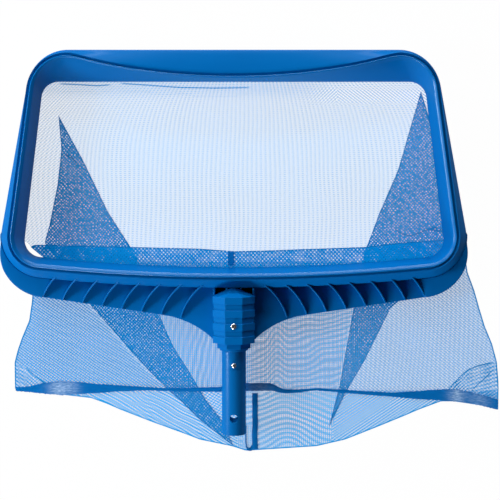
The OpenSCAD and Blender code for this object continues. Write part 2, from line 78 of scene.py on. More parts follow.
class Out:
    """A socket that can be written into a sum: each operator adds a Math node."""

    def __init__(self, shader, socket):
        self.shader, self.socket = shader, socket

    def _math(self, kind, *values):
        return self.shader.node("ShaderNodeMath", {"operation": kind}, values)

    def __add__(self, other):
        return self._math("ADD", self, other)

    __radd__ = __add__

    def __sub__(self, other):
        return self._math("SUBTRACT", self, other)

    def __rsub__(self, other):
        return self._math("SUBTRACT", other, self)

    def __mul__(self, other):
        return self._math("MULTIPLY", self, other)

    __rmul__ = __mul__

    def sine(self):
        return self._math("SINE", self)

    def clamp(self, low=0.0, high=1.0):
        return self._math("MINIMUM", self._math("MAXIMUM", self, low), high)

    def step(self, low, high):
        """0 below low, 1 above high and smooth between."""
        return self.shader.node(
            "ShaderNodeMapRange",
            {"interpolation_type": "SMOOTHSTEP"},
            {"Value": self, "From Min": low, "From Max": high},
        )


class Shader:
    """A material under construction, with one method that adds any node."""

    def __init__(self, name):
        self.material = bpy.data.materials.new(name)
        self.material.use_nodes = True
        self.tree = self.material.node_tree
        self.tree.nodes.clear()
        self.end = self.tree.nodes.new("ShaderNodeOutputMaterial")

    def feed(self, socket, value):
        if isinstance(value, Out):
            self.tree.links.new(value.socket, socket)
        else:
            socket.default_value = value

    def node(self, kind, settings=None, values=(), out=0):
        made = self.tree.nodes.new(kind)
        for key, value in (settings or {}).items():
            setattr(made, key, value)
        pairs = values.items() if isinstance(values, dict) else enumerate(values)
        for key, value in pairs:
            self.feed(made.inputs[key], value)
        return Out(self, made.outputs[out])

    def colour_mix(self, share, first, second):
        first, second = (c if isinstance(c, Out) else (*c[:3], 1.0) for c in (first, second))
        values = {0: share, 6: first, 7: second}
        return self.node("ShaderNodeMix", {"data_type": "RGBA"}, values, out=2)

    def place(self):
        return self.node("ShaderNodeTexCoord", out=3)

    def stretched(self, x, y, z=1.0):
        """The place on the piece, scaled by its own amount along each axis."""
        return self.node("ShaderNodeMapping", {}, {"Vector": self.place(), "Scale": (x, y, z)})

    def attribute(self, name):
        return self.node("ShaderNodeAttribute", {"attribute_name": name}, out=2)

    def parts(self, vector):
        """The first two parts of a vector."""
        split = self.tree.nodes.new("ShaderNodeSeparateXYZ")
        self.feed(split.inputs[0], vector)
        return Out(self, split.outputs[0]), Out(self, split.outputs[1])

    def spread(self, scale, detail=2.0, rough=0.5, at=None):
        """Soft noise from 0 to 1, in cells of 1/scale metres."""
        values = {"Scale": scale, "Detail": detail, "Roughness": rough}
        return self.node("ShaderNodeTexNoise", {}, {"Vector": at or self.place(), **values})

    def bump(self, strength, height, distance=0.0002):
        values = {"Strength": strength, "Distance": distance, "Height": height}
        return self.node("ShaderNodeBump", {}, values)

    def finish(self, **sockets):
        """One Principled surface from the values and links given."""
        body = self.tree.nodes.new("ShaderNodeBsdfPrincipled")
        for key, value in sockets.items():
            self.feed(body.inputs[key.replace("_", " ")], value)
        self.tree.links.new(body.outputs[0], self.end.inputs["Surface"])
        return self.material


WHITE = (1.0, 1.0, 1.0, 1.0)
FLOOR_Z, FLOOR_HALF, FLOOR_Y = -28.6, 4.0, 0.2
FLOOR_PAINT, FLOOR_GLINT, FLOOR_GLOW = (0.82, 0.90, 0.97, 1.0), (0.11, 0.18, 0.27, 1.0), 0.985
SKY_COLOUR, SKY_STRENGTH = (0.93, 0.95, 1.0, 1.0), 0.06

bm = bmesh.new()
bmesh.ops.create_grid(bm, x_segments=1, y_segments=1, size=FLOOR_HALF)
bmesh.ops.translate(bm, verts=bm.verts, vec=(0, FLOOR_Y, FLOOR_Z * MM))
floor_mesh = bpy.data.meshes.new("floor")
bm.to_mesh(floor_mesh)
bm.free()
floor = bpy.data.objects.new("floor", floor_mesh)
scene.collection.objects.link(floor)

# White where the camera sees it. Where a gloss sees it, the floor is a dim blue glow instead of the
# lit floor: a painted reflection that keeps the plastics blue.
pale = Shader("pale_floor")
straight = pale.node("ShaderNodeLightPath", out="Is Camera Ray")
glossy = pale.node("ShaderNodeLightPath", out="Is Glossy Ray")
matte = pale.node("ShaderNodeBsdfDiffuse", {}, {"Color": FLOOR_PAINT})
bright = pale.node("ShaderNodeEmission", {}, {"Color": WHITE})
dim = pale.node("ShaderNodeEmission", {}, {"Color": FLOOR_GLINT})
lit = pale.node("ShaderNodeMixShader", {}, {0: glossy, 1: matte, 2: dim})
surface = pale.node("ShaderNodeMixShader", {}, {0: FLOOR_GLOW * straight, 1: lit, 2: bright})
pale.tree.links.new(surface.socket, pale.end.inputs["Surface"])
floor_mesh.materials.append(pale.material)

world = bpy.data.worlds.new("sky")
scene.world = world
world.use_nodes = True
nodes, link = world.node_tree.nodes, world.node_tree.links.new
sky, backdrop = nodes["Background"], nodes.new("ShaderNodeBackground")
sky.inputs["Color"].default_value = SKY_COLOUR
sky.inputs["Strength"].default_value = SKY_STRENGTH
backdrop.inputs["Color"].default_value = WHITE
seen, either = nodes.new("ShaderNodeLightPath"), nodes.new("ShaderNodeMixShader")
link(seen.outputs["Is Camera Ray"], either.inputs[0])
link(sky.outputs[0], either.inputs[1])
link(backdrop.outputs[0], either.inputs[2])
link(either.outputs[0], nodes["World Output"].inputs["Surface"])

HEAD_CENTRE, LAMP_DISTANCE = Vector((0.0, 0.24, 0.0)), 2.2


def soft_lamp(name, bearing, height, size, size_y, power):
    """A soft lamp aimed at the head: bearing in degrees clockwise from the leading side."""
    lamp = bpy.data.lights.new(name, "AREA")
    lamp.shape = "RECTANGLE"
    lamp.size, lamp.size_y, lamp.energy = size, size_y, power
    a, h = radians(bearing), radians(height)
    away = Vector((cos(h) * sin(a), cos(h) * cos(a), sin(h)))
    holder = bpy.data.objects.new(name, lamp)
    holder.location = HEAD_CENTRE + LAMP_DISTANCE * away
    holder.rotation_euler = (HEAD_CENTRE - holder.location).to_track_quat("-Z", "Y").to_euler()
    scene.collection.objects.link(holder)


soft_lamp("key_lamp", -46, 30, 1.2, 1.0, 16.0)
soft_lamp("left_lamp", -92, 25, 0.7, 0.6, 35.0)
soft_lamp("leading_strip", 4, 9, 1.9, 0.3, 38.0)
soft_lamp("crest_strip", 0, 31, 2.0, 0.26, 14.0)
soft_lamp("handle_fill", -158, 16, 1.0, 0.7, 35.0)

# ---------------------------------------------------------------- hoop
# The outer moulding, in blue polypropylene: a sloped shoulder round three sides, a scraping
# ramp at the leading edge, a skirt down to the foot, and a ledge inside for the clamp ring.

MOUTH_L, MOUTH_NEAR, MOUTH_FAR = 216.0, 193.5, 409.5
HOOP_NEAR = 171.5
BOW_R = 2200.0
DIP = 23.0
FOOT, TOP, KNEE, RAMP, SEAT = -23.85, 16.15, 1.15, 9.15, 5.15
WALL, SHADOW_GAP = 2.6, 1.6
# A rail is [half width far, half width near, far Y, near Y, far corner radius, near corner
# radius], where far is the leading side and near is the handle's.
MOUTH = (221.5, 250.0, MOUTH_FAR, MOUTH_NEAR, 20.0, 20.0)
LIP = (229.5, 261.0, 436.5, 184.5, 43.0, 35.0)
OUTER = (235.5, 276.0, 443.5, HOOP_NEAR, 50.0, 48.0)
BOW_STEPS, NEAR_STEPS, SIDE_STEPS, FAR_STEPS, DIP_STEPS = 22, 22, 16, 26, 36


def grown(rail, side, far=None, near=None):
    """A rail moved outwards, by its own amounts at the far and near sides where given."""
    far, near = side if far is None else far, side if near is None else near
    ends = rail[2] + far, rail[3] - near
    return rail[0] + side, rail[1] + side, *ends, rail[4] + side, rail[5] + side


def lean(rail):
    return (rail[1] - rail[0]) / MOUTH_L


def near_centre(rail):
    t, r = lean(rail), rail[5]
    big = BOW_R - (MOUTH_NEAR - rail[3])
    a = rail[0] + t * MOUTH_FAR - r / cos(atan(t))
    yb = rail[3] + big
    qa, qb, qc = 1 + t * t, -2 * (a * t + yb), a * a + yb * yb - (big - r) ** 2
    y = (-qb - sqrt(qb * qb - 4 * qa * qc)) / (2 * qa)
    return a - t * y, y


def far_centre(rail):
    t, y = lean(rail), rail[2] - rail[4]
    return rail[0] + t * (MOUTH_FAR - y) - rail[4] / cos(atan(t)), y


def on_arc(centre, r, a):
    return centre[0] + r * cos(a), centre[1] + r * sin(a)


def half_rail(rail, dip=0.0):
    """The right half of a rail with, for each place, its share of the leading side."""
    side = atan(lean(rail))
    nc, fc = near_centre(rail), far_centre(rail)
    big = BOW_R - (MOUTH_NEAR - rail[3])
    bow = asin(nc[0] / (big - rail[5]))
    places = []
    for i in range(BOW_STEPS):
        a = -pi / 2 + bow * i / BOW_STEPS
        places.append((*on_arc((0, rail[3] + big), big, a), 0.0))
    for i in range(NEAR_STEPS + 1):
        a = -pi / 2 + bow + (pi / 2 - bow + side) * i / NEAR_STEPS
        places.append((*on_arc(nc, rail[5], a), 0.0))
    xa, ya = places[-1][:2]
    xb, yb = on_arc(fc, rail[4], side)
    for i in range(1, SIDE_STEPS):
        s = i / SIDE_STEPS
        places.append((xa + (xb - xa) * s, ya + (yb - ya) * s, 0.0))
    for i in range(FAR_STEPS + 1):
        a = side + (pi / 2 - side) * i / FAR_STEPS
        places.append((*on_arc(fc, rail[4], a), sin(pi / 2 * i / FAR_STEPS) ** 2))
    for i in range(1, DIP_STEPS + 1):
        u = 1 - i / DIP_STEPS
        places.append((fc[0] * u, rail[2] - dip * (1 - u * u) * (1 - u**14), 1.0))
    return places


def lap(rail, dip, z, z_far=None):
    """Places of one closed lap round a rail, in metres; the leading side may differ in Z."""
    z_far = z if z_far is None else z_far
    right = [Vector((x, y, z + (z_far - z) * s)) * MM for x, y, s in half_rail(rail, dip)]
    left = [Vector((-p.x, p.y, p.z)) for p in right[-2:0:-1]]
    return right + left


def between(first, second, share, lift=0.0):
    return [a.lerp(b, share) + Vector((0, 0, lift * MM)) for a, b in zip(first, second)]


def closed_ring(bm, places):
    verts = [bm.verts.new(p) for p in places]
    for i, v in enumerate(verts):
        bm.edges.new((verts[i - 1], v))
    return verts


def new_verts(made):
    return [v for v in made["geom"] if isinstance(v, bmesh.types.BMVert)]


def next_lap(bm, ring, places):
    """Extrude a closed ring once and put its new vertices in their places."""
    edges = [bm.edges.get((ring[i - 1], ring[i])) for i in range(len(ring))]
    new = set(new_verts(bmesh.ops.extrude_edge_only(bm, edges=edges)))
    out = []
    for v, place in zip(ring, places):
        w = next(e.other_vert(v) for e in v.link_edges if e.other_vert(v) in new)
        w.co = place
        out.append(w)
    return out


def swept(laps):
    """A closed tube through a list of laps, bridged from the last back to the first."""
    bm = bmesh.new()
    start = ring = closed_ring(bm, laps[0])
    for places in laps[1:]:
        ring = next_lap(bm, ring, places)
    count = len(ring)
    edges = [bm.edges.get((r[i - 1], r[i])) for r in (start, ring) for i in range(count)]
    bmesh.ops.bridge_loops(bm, edges=edges)
    bmesh.ops.recalc_face_normals(bm, faces=bm.faces)
    return bm


CREASE_DEG = 32.0


def smooth_faces(bm, limit_deg=CREASE_DEG, flat_area=None):
    """Smooth shading, with edges sharper than the limit and broad flats kept crisp."""
    for f in bm.faces:
        f.smooth = flat_area is None or f.calc_area() < flat_area * MM * MM
    for e in bm.edges:
        if len(e.link_faces) == 2 and e.calc_face_angle() > radians(limit_deg):
            e.smooth = False


def piece(name, bm, material, slot, stands_for=(), body="head", limit_deg=CREASE_DEG,
          flat_area=None):
    """Turn a bmesh into a shown piece that rides on a body."""
    smooth_faces(bm, limit_deg, flat_area)
    mesh = bpy.data.meshes.new(name)
    bm.to_mesh(mesh)
    bm.free()
    mesh.materials.append(material)
    made = bpy.data.objects.new(name, mesh)
    scene.collection.objects.link(made)
    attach(made, body)
    if stands_for:
        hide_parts(*stands_for)
    return made


COAT_SHEEN = (0.6, 0.8, 1.0, 1.0)


def moulded(name, colour, deep, shine=0.08, base_rough=0.26):
    """Injection-moulded polypropylene: faint flow marks, a fine skin and a satin sheen."""
    s = Shader(name)
    flow = s.spread(9.0, 3.0, 0.55)
    skin = s.spread(900.0, 2.0, 0.6)
    tint = s.colour_mix(flow.step(0.35, 0.7), colour, deep)
    rough = base_rough + 0.06 * flow + 0.04 * skin
    return s.finish(
        Base_Color=tint, Roughness=rough, Normal=s.bump(0.12, skin + 0.6 * flow), IOR=1.49,
        Specular_IOR_Level=shine, Specular_Tint=COAT_SHEEN,
    )


HOOP_BLUE, HOOP_DEEP = (0.0, 0.126, 0.416), (0.0, 0.118, 0.398)
hoop_plastic = moulded("hoop_plastic", HOOP_BLUE, HOOP_DEEP)


def hoop_piece(name, bm, **how):
    piece(name, bm, hoop_plastic, slot="hoop_plastic", **how)


inner = grown(LIP, SHADOW_GAP)
leg = grown(LIP, SHADOW_GAP + WALL)
skirt_in = grown(OUTER, -WALL - 0.6)
ledge = grown(LIP, -2.1, -0.1, -2.1)
shoulder_top = lap(grown(inner, 1.55), DIP, TOP)
shoulder_low = lap(grown(OUTER, -1.5, -1.7, -1.5), 0, KNEE + 1.8, RAMP + 0.3)
hoop_laps = [
    *[
        lap(grown(rail, side), DIP, z)
        for rail, side, z in (
            (LIP, 0.3, SEAT), (LIP, 0.3, TOP - 1.75), (inner, -0.5, TOP - 1.75),
            (inner, -0.3, TOP - 1.6), (inner, 0.9, TOP - 0.3), (inner, 1.2, TOP - 0.08),
        )
    ],
    shoulder_top,
    *[between(shoulder_top, shoulder_low, k / 6, 0.5 * sin(pi * k / 6)) for k in range(1, 6)],
    shoulder_low,
    lap(grown(OUTER, -0.7, -0.8, -0.7), 0, KNEE + 0.9, RAMP - 0.2),
    lap(grown(OUTER, -0.2, -0.2, -0.2), 0, KNEE - 0.1, RAMP - 0.8),
    lap(OUTER, 0, KNEE - 1.4, RAMP - 1.8),
    lap(grown(OUTER, -0.6), 0, FOOT + 0.4),
    lap(grown(OUTER, -1.0), 0, FOOT),
    lap(skirt_in, 0, FOOT),
    lap(skirt_in, 0, KNEE - WALL, RAMP - WALL - 1),
    lap(leg, DIP, TOP - WALL - 1.2, TOP - WALL - 0.6),
    lap(leg, DIP, SEAT - WALL),
    lap(ledge, DIP, SEAT - WALL),
    lap(ledge, DIP, SEAT),
]
hoop_piece("hoop", swept(hoop_laps), stands_for=["frame_hoop"])

# ---------------------------------------------------------------- clamp ring
# The inner moulding that holds the net: a rounded crest beside the shadow gap, a funnel wall
# down to the mouth, and a channel underneath for the hem and its cord. It snaps into the hoop.

CREST = TOP + 1.4
CORD_D = 2.8
CHANNEL_IN, CHANNEL_W, CHANNEL_LIP = 3.1, CORD_D + 0.5, 2.0
CHANNEL_OUT = CHANNEL_IN + CHANNEL_W + CHANNEL_LIP
CHANNEL_FLOOR = FOOT + 2
CHANNEL_TOP = CHANNEL_FLOOR + 5
# The crest's section from the funnel outwards: distances outside the lip at the sides, the far
# and the near side, then the drop below the crest, and the drop at the leading side.
CREST_SECTION = (
    (-4.45, -2.15, -4.75, 2.3, 1.5), (-4.15, -2.0, -4.4, 1.9, 0.95),
    (-3.8, -1.85, -4.05, 1.6, 0.62), (-3.55, -1.7, -3.8, 1.44, 0.5),
    (-2.0, -1.0, -2.1, 0.38, 0.12), (-1.65, -0.85, -1.75, 0.2, 0.06),
    (-1.15, -0.62, -1.2, 0.0, 0.0), (-0.7, -0.4, -0.75, 0.2, 0.15),
    (-0.25, -0.15, -0.3, 0.8, 0.6), (0.0, 0.0, 0.0, 1.8, 1.4),
)


def mouth_laps(section):
    """Level laps round the mouth, from pairs of a distance outside it and a height."""
    return [lap(grown(MOUTH, side), 0, z) for side, z in section]


ring_plastic = moulded("ring_plastic", (0.0, 0.130, 0.424), (0.0, 0.122, 0.406), 0.42, 0.17)

funnel_top = lap(grown(LIP, -4.8, -2.35, -5.1), DIP, CREST - 4.0, CREST - 2.4)
funnel_low = lap(grown(MOUTH, 0.6, 0.6, 0.4), 0, FOOT + 5, FOOT + 3.5)
ring_laps = [
    *mouth_laps([(0, FOOT), (0.1, FOOT + 1.5)]),
    funnel_low,
    *[between(funnel_low, funnel_top, k / 6) for k in range(1, 6)],
    funnel_top,
    *[
        lap(grown(LIP, side, far, near), DIP, CREST - drop, CREST - drop_far)
        for side, far, near, drop, drop_far in CREST_SECTION
    ],
    lap(LIP, DIP, SEAT),
    lap(grown(LIP, -2.6, -0.3, -2.6), DIP, SEAT),
    lap(grown(LIP, -2.7, -0.5, -2.7), DIP, SEAT - 3),
    *mouth_laps([
        (CHANNEL_IN, CHANNEL_TOP), (CHANNEL_IN, CHANNEL_FLOOR),
        (CHANNEL_IN + CHANNEL_W, CHANNEL_FLOOR), (CHANNEL_IN + CHANNEL_W, CHANNEL_TOP),
        (CHANNEL_OUT, CHANNEL_TOP), (CHANNEL_OUT, FOOT),
    ]),
]
piece("clamp_ring_moulding", swept(ring_laps), ring_plastic, slot="ring_plastic",
      stands_for=["clamp_ring"])

# ---------------------------------------------------------------- yoke
# The handle's root, one moulding with the hoop's skin: a low web that sweeps out of the collar
# to both corners, sixteen curved ribs that climb on to the shoulder, and plain outer corners.

COLLAR_AF, COLLAR_Y, COLLAR_L = 48.5, 108.5, 54.0
NOSE_Y = COLLAR_Y + COLLAR_L
APRON_D, APRON_SLOPE = 45.6, radians(8.5)
SWEEP_R, SWEEP_TOP = 105.0, radians(45)
CORNER_R, CORNER_IN = 52.4, 1.4
WEB_Z, WEB_T = KNEE - 14.5, 3.0
SWEEP_STEPS, CORNER_STEPS, RIB_STEPS = 24, 40, 24
RIBS, RIB_FIRST, RIB_PITCH, RIB_THROW, RIB_R, RIB_T = 8, 37.0, 24.2, 25.0, 78.0, 2.1
COVER_DROP = radians(13)


def along(points, x):
    """Y at x on a line of points that run to the right."""
    for (xa, ya), (xb, yb) in zip(points, points[1:]):
        if xa <= x <= xb:
            return ya + (yb - ya) * (x - xa) / max(xb - xa, 1e-6)
    return points[0][1] if x < points[0][0] else points[-1][1]


def edge_y(x):
    return HOOP_NEAR - APRON_D + x * tan(APRON_SLOPE)


sweep_x = COLLAR_AF / 2 - 1 + SWEEP_R * (sin(SWEEP_TOP) - sin(APRON_SLOPE))
sweep_c = (sweep_x + SWEEP_R * sin(APRON_SLOPE), edge_y(sweep_x) - SWEEP_R * cos(APRON_SLOPE))
side_lean = lean(OUTER)
x0 = OUTER[0] - CORNER_IN + side_lean * MOUTH_FAR - CORNER_R / cos(atan(side_lean))
corner_y = (edge_y(x0) + CORNER_R / cos(APRON_SLOPE)) / (1 + tan(APRON_SLOPE) * side_lean)
corner_c = (x0 - side_lean * corner_y, corner_y)

hoop_foot = half_rail(grown(OUTER, 0.3))
hoop_near_side = [(x, y) for x, y, _ in hoop_foot[: BOW_STEPS + NEAR_STEPS]]


def hoop_edge_y(x):
    """Y of the hoop's handle side at a distance x from the axis, on either side of it."""
    return along(hoop_near_side, abs(x))


def soften(bm, edges, offset, segments, clamp=False):
    """Round edges off, by an offset in millimetres."""
    bmesh.ops.bevel(
        bm, geom=edges, offset=offset * MM, segments=segments, profile=0.5, affect="EDGES",
        clamp_overlap=clamp, material=-1,
    )


def cut_many_sided(bm):
    bmesh.ops.triangulate(bm, faces=[f for f in bm.faces if len(f.verts) > 4])


apron_right = []
for i in range(SWEEP_STEPS + 1):
    a = pi / 2 + SWEEP_TOP + (APRON_SLOPE - SWEEP_TOP) * i / SWEEP_STEPS
    apron_right.append(on_arc(sweep_c, SWEEP_R, a))
for i in range(CORNER_STEPS + 1):
    a = -pi / 2 + APRON_SLOPE + (pi / 2 - APRON_SLOPE + atan(side_lean)) * i / CORNER_STEPS
    p = on_arc(corner_c, CORNER_R, a)
    if p[1] < hoop_edge_y(p[0]) - 0.2:
        apron_right.append(p)
corner_x = apron_right[-1][0]
apron_right += [p for p in reversed(hoop_near_side) if p[0] < corner_x - 0.3]

bm = bmesh.new()
outline = apron_right + [(-x, y) for x, y in reversed(apron_right) if abs(x) > 0.01]
web = bm.faces.new([bm.verts.new((x * MM, y * MM, WEB_Z * MM)) for x, y in outline])
bm.normal_update()
if web.normal.z > 0:
    web.normal_flip()
top_verts = new_verts(bmesh.ops.extrude_face_region(bm, geom=[web]))
bmesh.ops.translate(bm, verts=top_verts, vec=(0, 0, WEB_T * MM))
bmesh.ops.recalc_face_normals(bm, faces=bm.faces)
free_verts = {v for v in top_verts if v.co.y / MM < hoop_edge_y(v.co.x / MM) - 2}
soften(bm, [e for e in bm.edges if free_verts.issuperset(e.verts)], 0.7, 3)
cut_many_sided(bm)
hoop_piece("yoke_web", bm)

RIB_ROOT_Z, RIB_FOOT_Z = 6.2, -8.2


def rib_middle(i):
    """Middle line of rib i, on the right, from inside the shoulder to the apron's edge."""
    root_x = RIB_FIRST + RIB_PITCH * i
    root = (root_x, hoop_edge_y(root_x) + 2.5)
    foot_x = root_x + RIB_THROW * (1 - 0.05 * i)
    foot = (foot_x, edge_y(foot_x) + 0.3)
    d = (foot[0] - root[0], foot[1] - root[1])
    length = hypot(*d)
    h = sqrt(RIB_R**2 - length**2 / 4)
    c = ((root[0] + foot[0]) / 2 + d[1] / length * h, (root[1] + foot[1]) / 2 - d[0] / length * h)
    a0, a1 = (atan2(y - c[1], x - c[0]) for x, y in (root, foot))
    a0 += 2.0 / RIB_R
    return c, [a0 + (a1 - a0) * k / RIB_STEPS for k in range(RIB_STEPS + 1)]


def rib(bm, i, side):
    c, angles = rib_middle(i)
    fall = (RIB_FOOT_Z - RIB_ROOT_Z) / RIB_STEPS
    rim = [(a, RIB_ROOT_Z + fall * k) for k, a in enumerate(angles)]
    outline = [(*on_arc(c, RIB_R + RIB_T / 2, a), z) for a, z in rim]
    outline += [(*on_arc(c, RIB_R - RIB_T / 2, a), z) for a, z in reversed(rim)]
    low = WEB_Z + WEB_T - 0.6
    verts = [bm.verts.new((side * x * MM, y * MM, z * MM)) for x, y, z in outline]
    top = bm.faces.new(verts)
    top.normal_update()
    if top.normal.z < 0:
        top.normal_flip()
    edges = list(top.edges)
    lower = new_verts(bmesh.ops.extrude_face_region(bm, geom=[top], use_keep_orig=True))
    for v in lower:
        v.co.z = low * MM
    bmesh.ops.recalc_face_normals(bm, faces=list({f for v in verts + lower for f in v.link_faces}))
    soften(bm, edges, 0.8, 4)


bm = bmesh.new()
for i in range(RIBS):
    for side in (1, -1):
        rib(bm, i, side)
cut_many_sided(bm)
hoop_piece("yoke_ribs", bm, limit_deg=50)

# Plain corner covers outside the last rib on each side.
bm = bmesh.new()
c, angles = rib_middle(RIBS - 1)
cover = [on_arc(c, RIB_R, a) for a in angles]
arc = [p for p in apron_right if p[0] > cover[-1][0] + 1 and p[1] < hoop_edge_y(p[0]) - 0.15]
edge = [p for p in reversed(hoop_near_side) if cover[0][0] + 1 < p[0] < corner_x - 0.3]
outline = [p for p in cover if p[1] < hoop_edge_y(p[0]) - 0.1] + arc + edge
for side in (1, -1):
    verts = [bm.verts.new((side * x * MM, y * MM, (WEB_Z + 1) * MM)) for x, y in outline]
    face = bm.faces.new(verts)
    upper = new_verts(bmesh.ops.extrude_face_region(bm, geom=[face], use_keep_orig=True))
    for v in upper:
        past_hoop = v.co.y / MM - HOOP_NEAR - 20
        v.co.z = min(KNEE - 1.0, KNEE - 1.0 + past_hoop * tan(COVER_DROP)) * MM
    bmesh.ops.recalc_face_normals(bm, faces=list({f for v in verts + upper for f in v.link_faces}))
    soften(bm, [e for e in bm.edges if set(upper).issuperset(e.verts)], 1.0, 4)
cut_many_sided(bm)
hoop_piece("yoke_corners", bm)

# ---------------------------------------------------------------- collar
# Eight-sided socket for the tube, moulded with the yoke: four raised bands, a tapered nose that
# runs up to the hoop, thin walls beside it, and a stepped neck with a round lip.

BAND_SHARE = 0.54
BAND_PITCH = COLLAR_L / (3 + BAND_SHARE)
BAND_W = BAND_PITCH * BAND_SHARE
CORE_AF = COLLAR_AF - 2.0
TUBE_OUT, TUBE_D = 99.0, 28.0


def octagon(y, across):
    r = across / 2 / cos(pi / 8)
    angles = [pi / 8 + pi / 4 * k for k in range(8)]
    return [Vector((r * cos(a), y, r * sin(a))) * MM for a in angles]


stations = [(TUBE_OUT + 3, COLLAR_AF - 10), (COLLAR_Y, COLLAR_AF - 10)]
for i in range(4):
    y = COLLAR_Y + BAND_PITCH * i
    stations += [(y, COLLAR_AF), (y + BAND_W, COLLAR_AF)]
    if i < 3:
        stations += [(y + BAND_W, CORE_AF), (y + BAND_PITCH, CORE_AF)]
stations.append((HOOP_NEAR - 0.6, 7.0))

bm = bmesh.new()
first = ring = closed_ring(bm, octagon(*stations[0]))
for y, across in stations[1:]:
    ring = next_lap(bm, ring, octagon(y, across))
for end in (first, ring):
    bm.faces.new(end)
bmesh.ops.recalc_face_normals(bm, faces=bm.faces)
crisp = [e for e in bm.edges if e.calc_face_angle() > radians(15)]
soften(bm, crisp, 0.26, 2, clamp=True)
hoop_piece("collar", bm, stands_for=["handle_yoke"], limit_deg=80, flat_area=6.0)


def block(bm, size, centre):
    """A box, from its size and centre in millimetres."""
    made = bmesh.ops.create_cube(bm, size=1.0)["verts"]
    bmesh.ops.scale(bm, verts=made, vec=[v * MM for v in size])
    bmesh.ops.translate(bm, verts=made, vec=[v * MM for v in centre])


WALL_Z = WEB_Z + 0.5
bm = bmesh.new()
for share, width, front, height in (
    (1.0, 2.3, NOSE_Y - 1.5, KNEE + 1.0), (0.36, 1.8, NOSE_Y + 4.5, KNEE),
):
    depth = HOOP_NEAR - 0.3 - front
    middle_x = share * (COLLAR_AF / 2 - 0.4 - width / 2)
    for side in (-1, 1):
        centre = (side * middle_x, front + depth / 2, (height + WALL_Z) / 2)
        block(bm, (width, depth, height - WALL_Z), centre)
soften(bm, bm.edges[:], 0.6, 3)
hoop_piece("nose_walls", bm, flat_area=6.0)

# Near-black plates on the floors of the two pockets beside the nose: painted shade for the deep
# shadow in them.
pocket_painted_shade = moulded("pocket_painted_shade", (0.0, 0.006, 0.02), (0.0, 0.004, 0.016))
bm = bmesh.new()
for side in (1, -1):
    block(bm, (20.6, 9.0, 0.4), (side * 11.6, HOOP_NEAR - 4.6, WEB_Z + WEB_T + 0.1))
piece("nose_pockets", bm, pocket_painted_shade, slot="hoop_plastic", flat_area=1.0)


def round_laps(section, n=64):
    """Circles about the tube's axis, from pairs of a Y and a radius."""
    angles = [2 * pi * k / n for k in range(n)]
    return [[Vector((r * cos(a), y, r * sin(a))) * MM for a in angles] for y, r in section]


TUBE_R = TUBE_D / 2
neck_r = TUBE_R + 2.6
neck_laps = round_laps([
    (TUBE_OUT + 4, TUBE_R + 0.05), (TUBE_OUT + 0.4, TUBE_R + 0.05), (TUBE_OUT, TUBE_R + 0.5),
    (TUBE_OUT, neck_r - 0.8), (TUBE_OUT + 0.25, neck_r - 0.25), (TUBE_OUT + 0.8, neck_r),
    (TUBE_OUT + 4, neck_r),
])
hoop_piece("neck_lip", swept(neck_laps))

# ---------------------------------------------------------------- tube
# Drawn aluminium tube with a glossy blue coat, pressed into the collar. Its open end is sawn
# bare, with a cross hole for a pole's clip and two holes for the snap buttons.

TUBE_WALL, SOCKET_L, TUBE_START = 1.4, 57.0, 0.8
LINE_Y, LINE_DEPTH, DRILL_L = 78.0, 0.25, 60.0
CROSS_HOLE_Y, CROSS_HOLE_R = 20.7, 4.7
BUTTON_Y, BUTTON_R = 83.0, 3.2
SCREW_Y = COLLAR_Y + COLLAR_L * 0.39
tube_end, bore, groove = TUBE_OUT + SOCKET_L, TUBE_R - TUBE_WALL, TUBE_R - LINE_DEPTH
tube_laps = round_laps([
    (TUBE_START, groove), (TUBE_START + 0.25, TUBE_R),
    (LINE_Y - 0.4, TUBE_R), (LINE_Y - 0.2, groove), (LINE_Y + 0.2, groove), (LINE_Y + 0.4, TUBE_R),
    (tube_end, TUBE_R), (tube_end, bore), (TUBE_START + 0.2, bore), (TUBE_START, bore + 0.2),
], 96)


def coated(name, colour):
    """Powder coat on aluminium: glossy, with a hint of orange peel and fine rub marks."""
    s = Shader(name)
    peel = s.spread(420.0, 2.0, 0.5)
    rub = s.spread(9.0, 4.0, 0.65, s.stretched(60.0, 4.0, 60.0))
    tint = s.colour_mix(0.35 * rub, colour, tuple(c * 0.86 for c in colour))
    return s.finish(
        Base_Color=tint, Roughness=0.17 + 0.14 * rub, Normal=s.bump(0.1, peel), IOR=1.5,
        Specular_IOR_Level=0.4, Specular_Tint=COAT_SHEEN,
    )


coated_tube = coated("coated_tube", HOOP_BLUE)
tube = piece("tube", swept(tube_laps), coated_tube, slot="coated_tube", stands_for=["handle_tube"])


def drill(target, holes):
    """Cut upright round holes through a piece, from pairs of a Y and a radius."""
    for y, r in holes:
        bm = bmesh.new()
        bmesh.ops.create_cone(bm, cap_ends=True, segments=48, radius1=r * MM, radius2=r * MM,
                              depth=DRILL_L * MM)
        bmesh.ops.translate(bm, verts=bm.verts, vec=(0, y * MM, 0))
        mesh = bpy.data.meshes.new("drill")
        bm.to_mesh(mesh)
        bm.free()
        bit = bpy.data.objects.new("drill", mesh)
        scene.collection.objects.link(bit)
        cut = target.modifiers.new("cut", "BOOLEAN")
        cut.object, cut.operation, cut.solver = bit, "DIFFERENCE", "EXACT"
        deps = bpy.context.evaluated_depsgraph_get()
        result = bpy.data.meshes.new_from_object(target.evaluated_get(deps))
        target.modifiers.clear()
        target.data = result
        bpy.data.objects.remove(bit)
    bm = bmesh.new()
    bm.from_mesh(target.data)
    smooth_faces(bm, 25.0)
    bm.to_mesh(target.data)
    bm.free()


drill(tube, [(CROSS_HOLE_Y, CROSS_HOLE_R), (BUTTON_Y, BUTTON_R + 0.08)])

# ---------------------------------------------------------------- screw and buttons
# Plated pan-head screw through the collar, and the two snap buttons with their folded spring
# strip inside the tube. A pole's holes take the buttons.


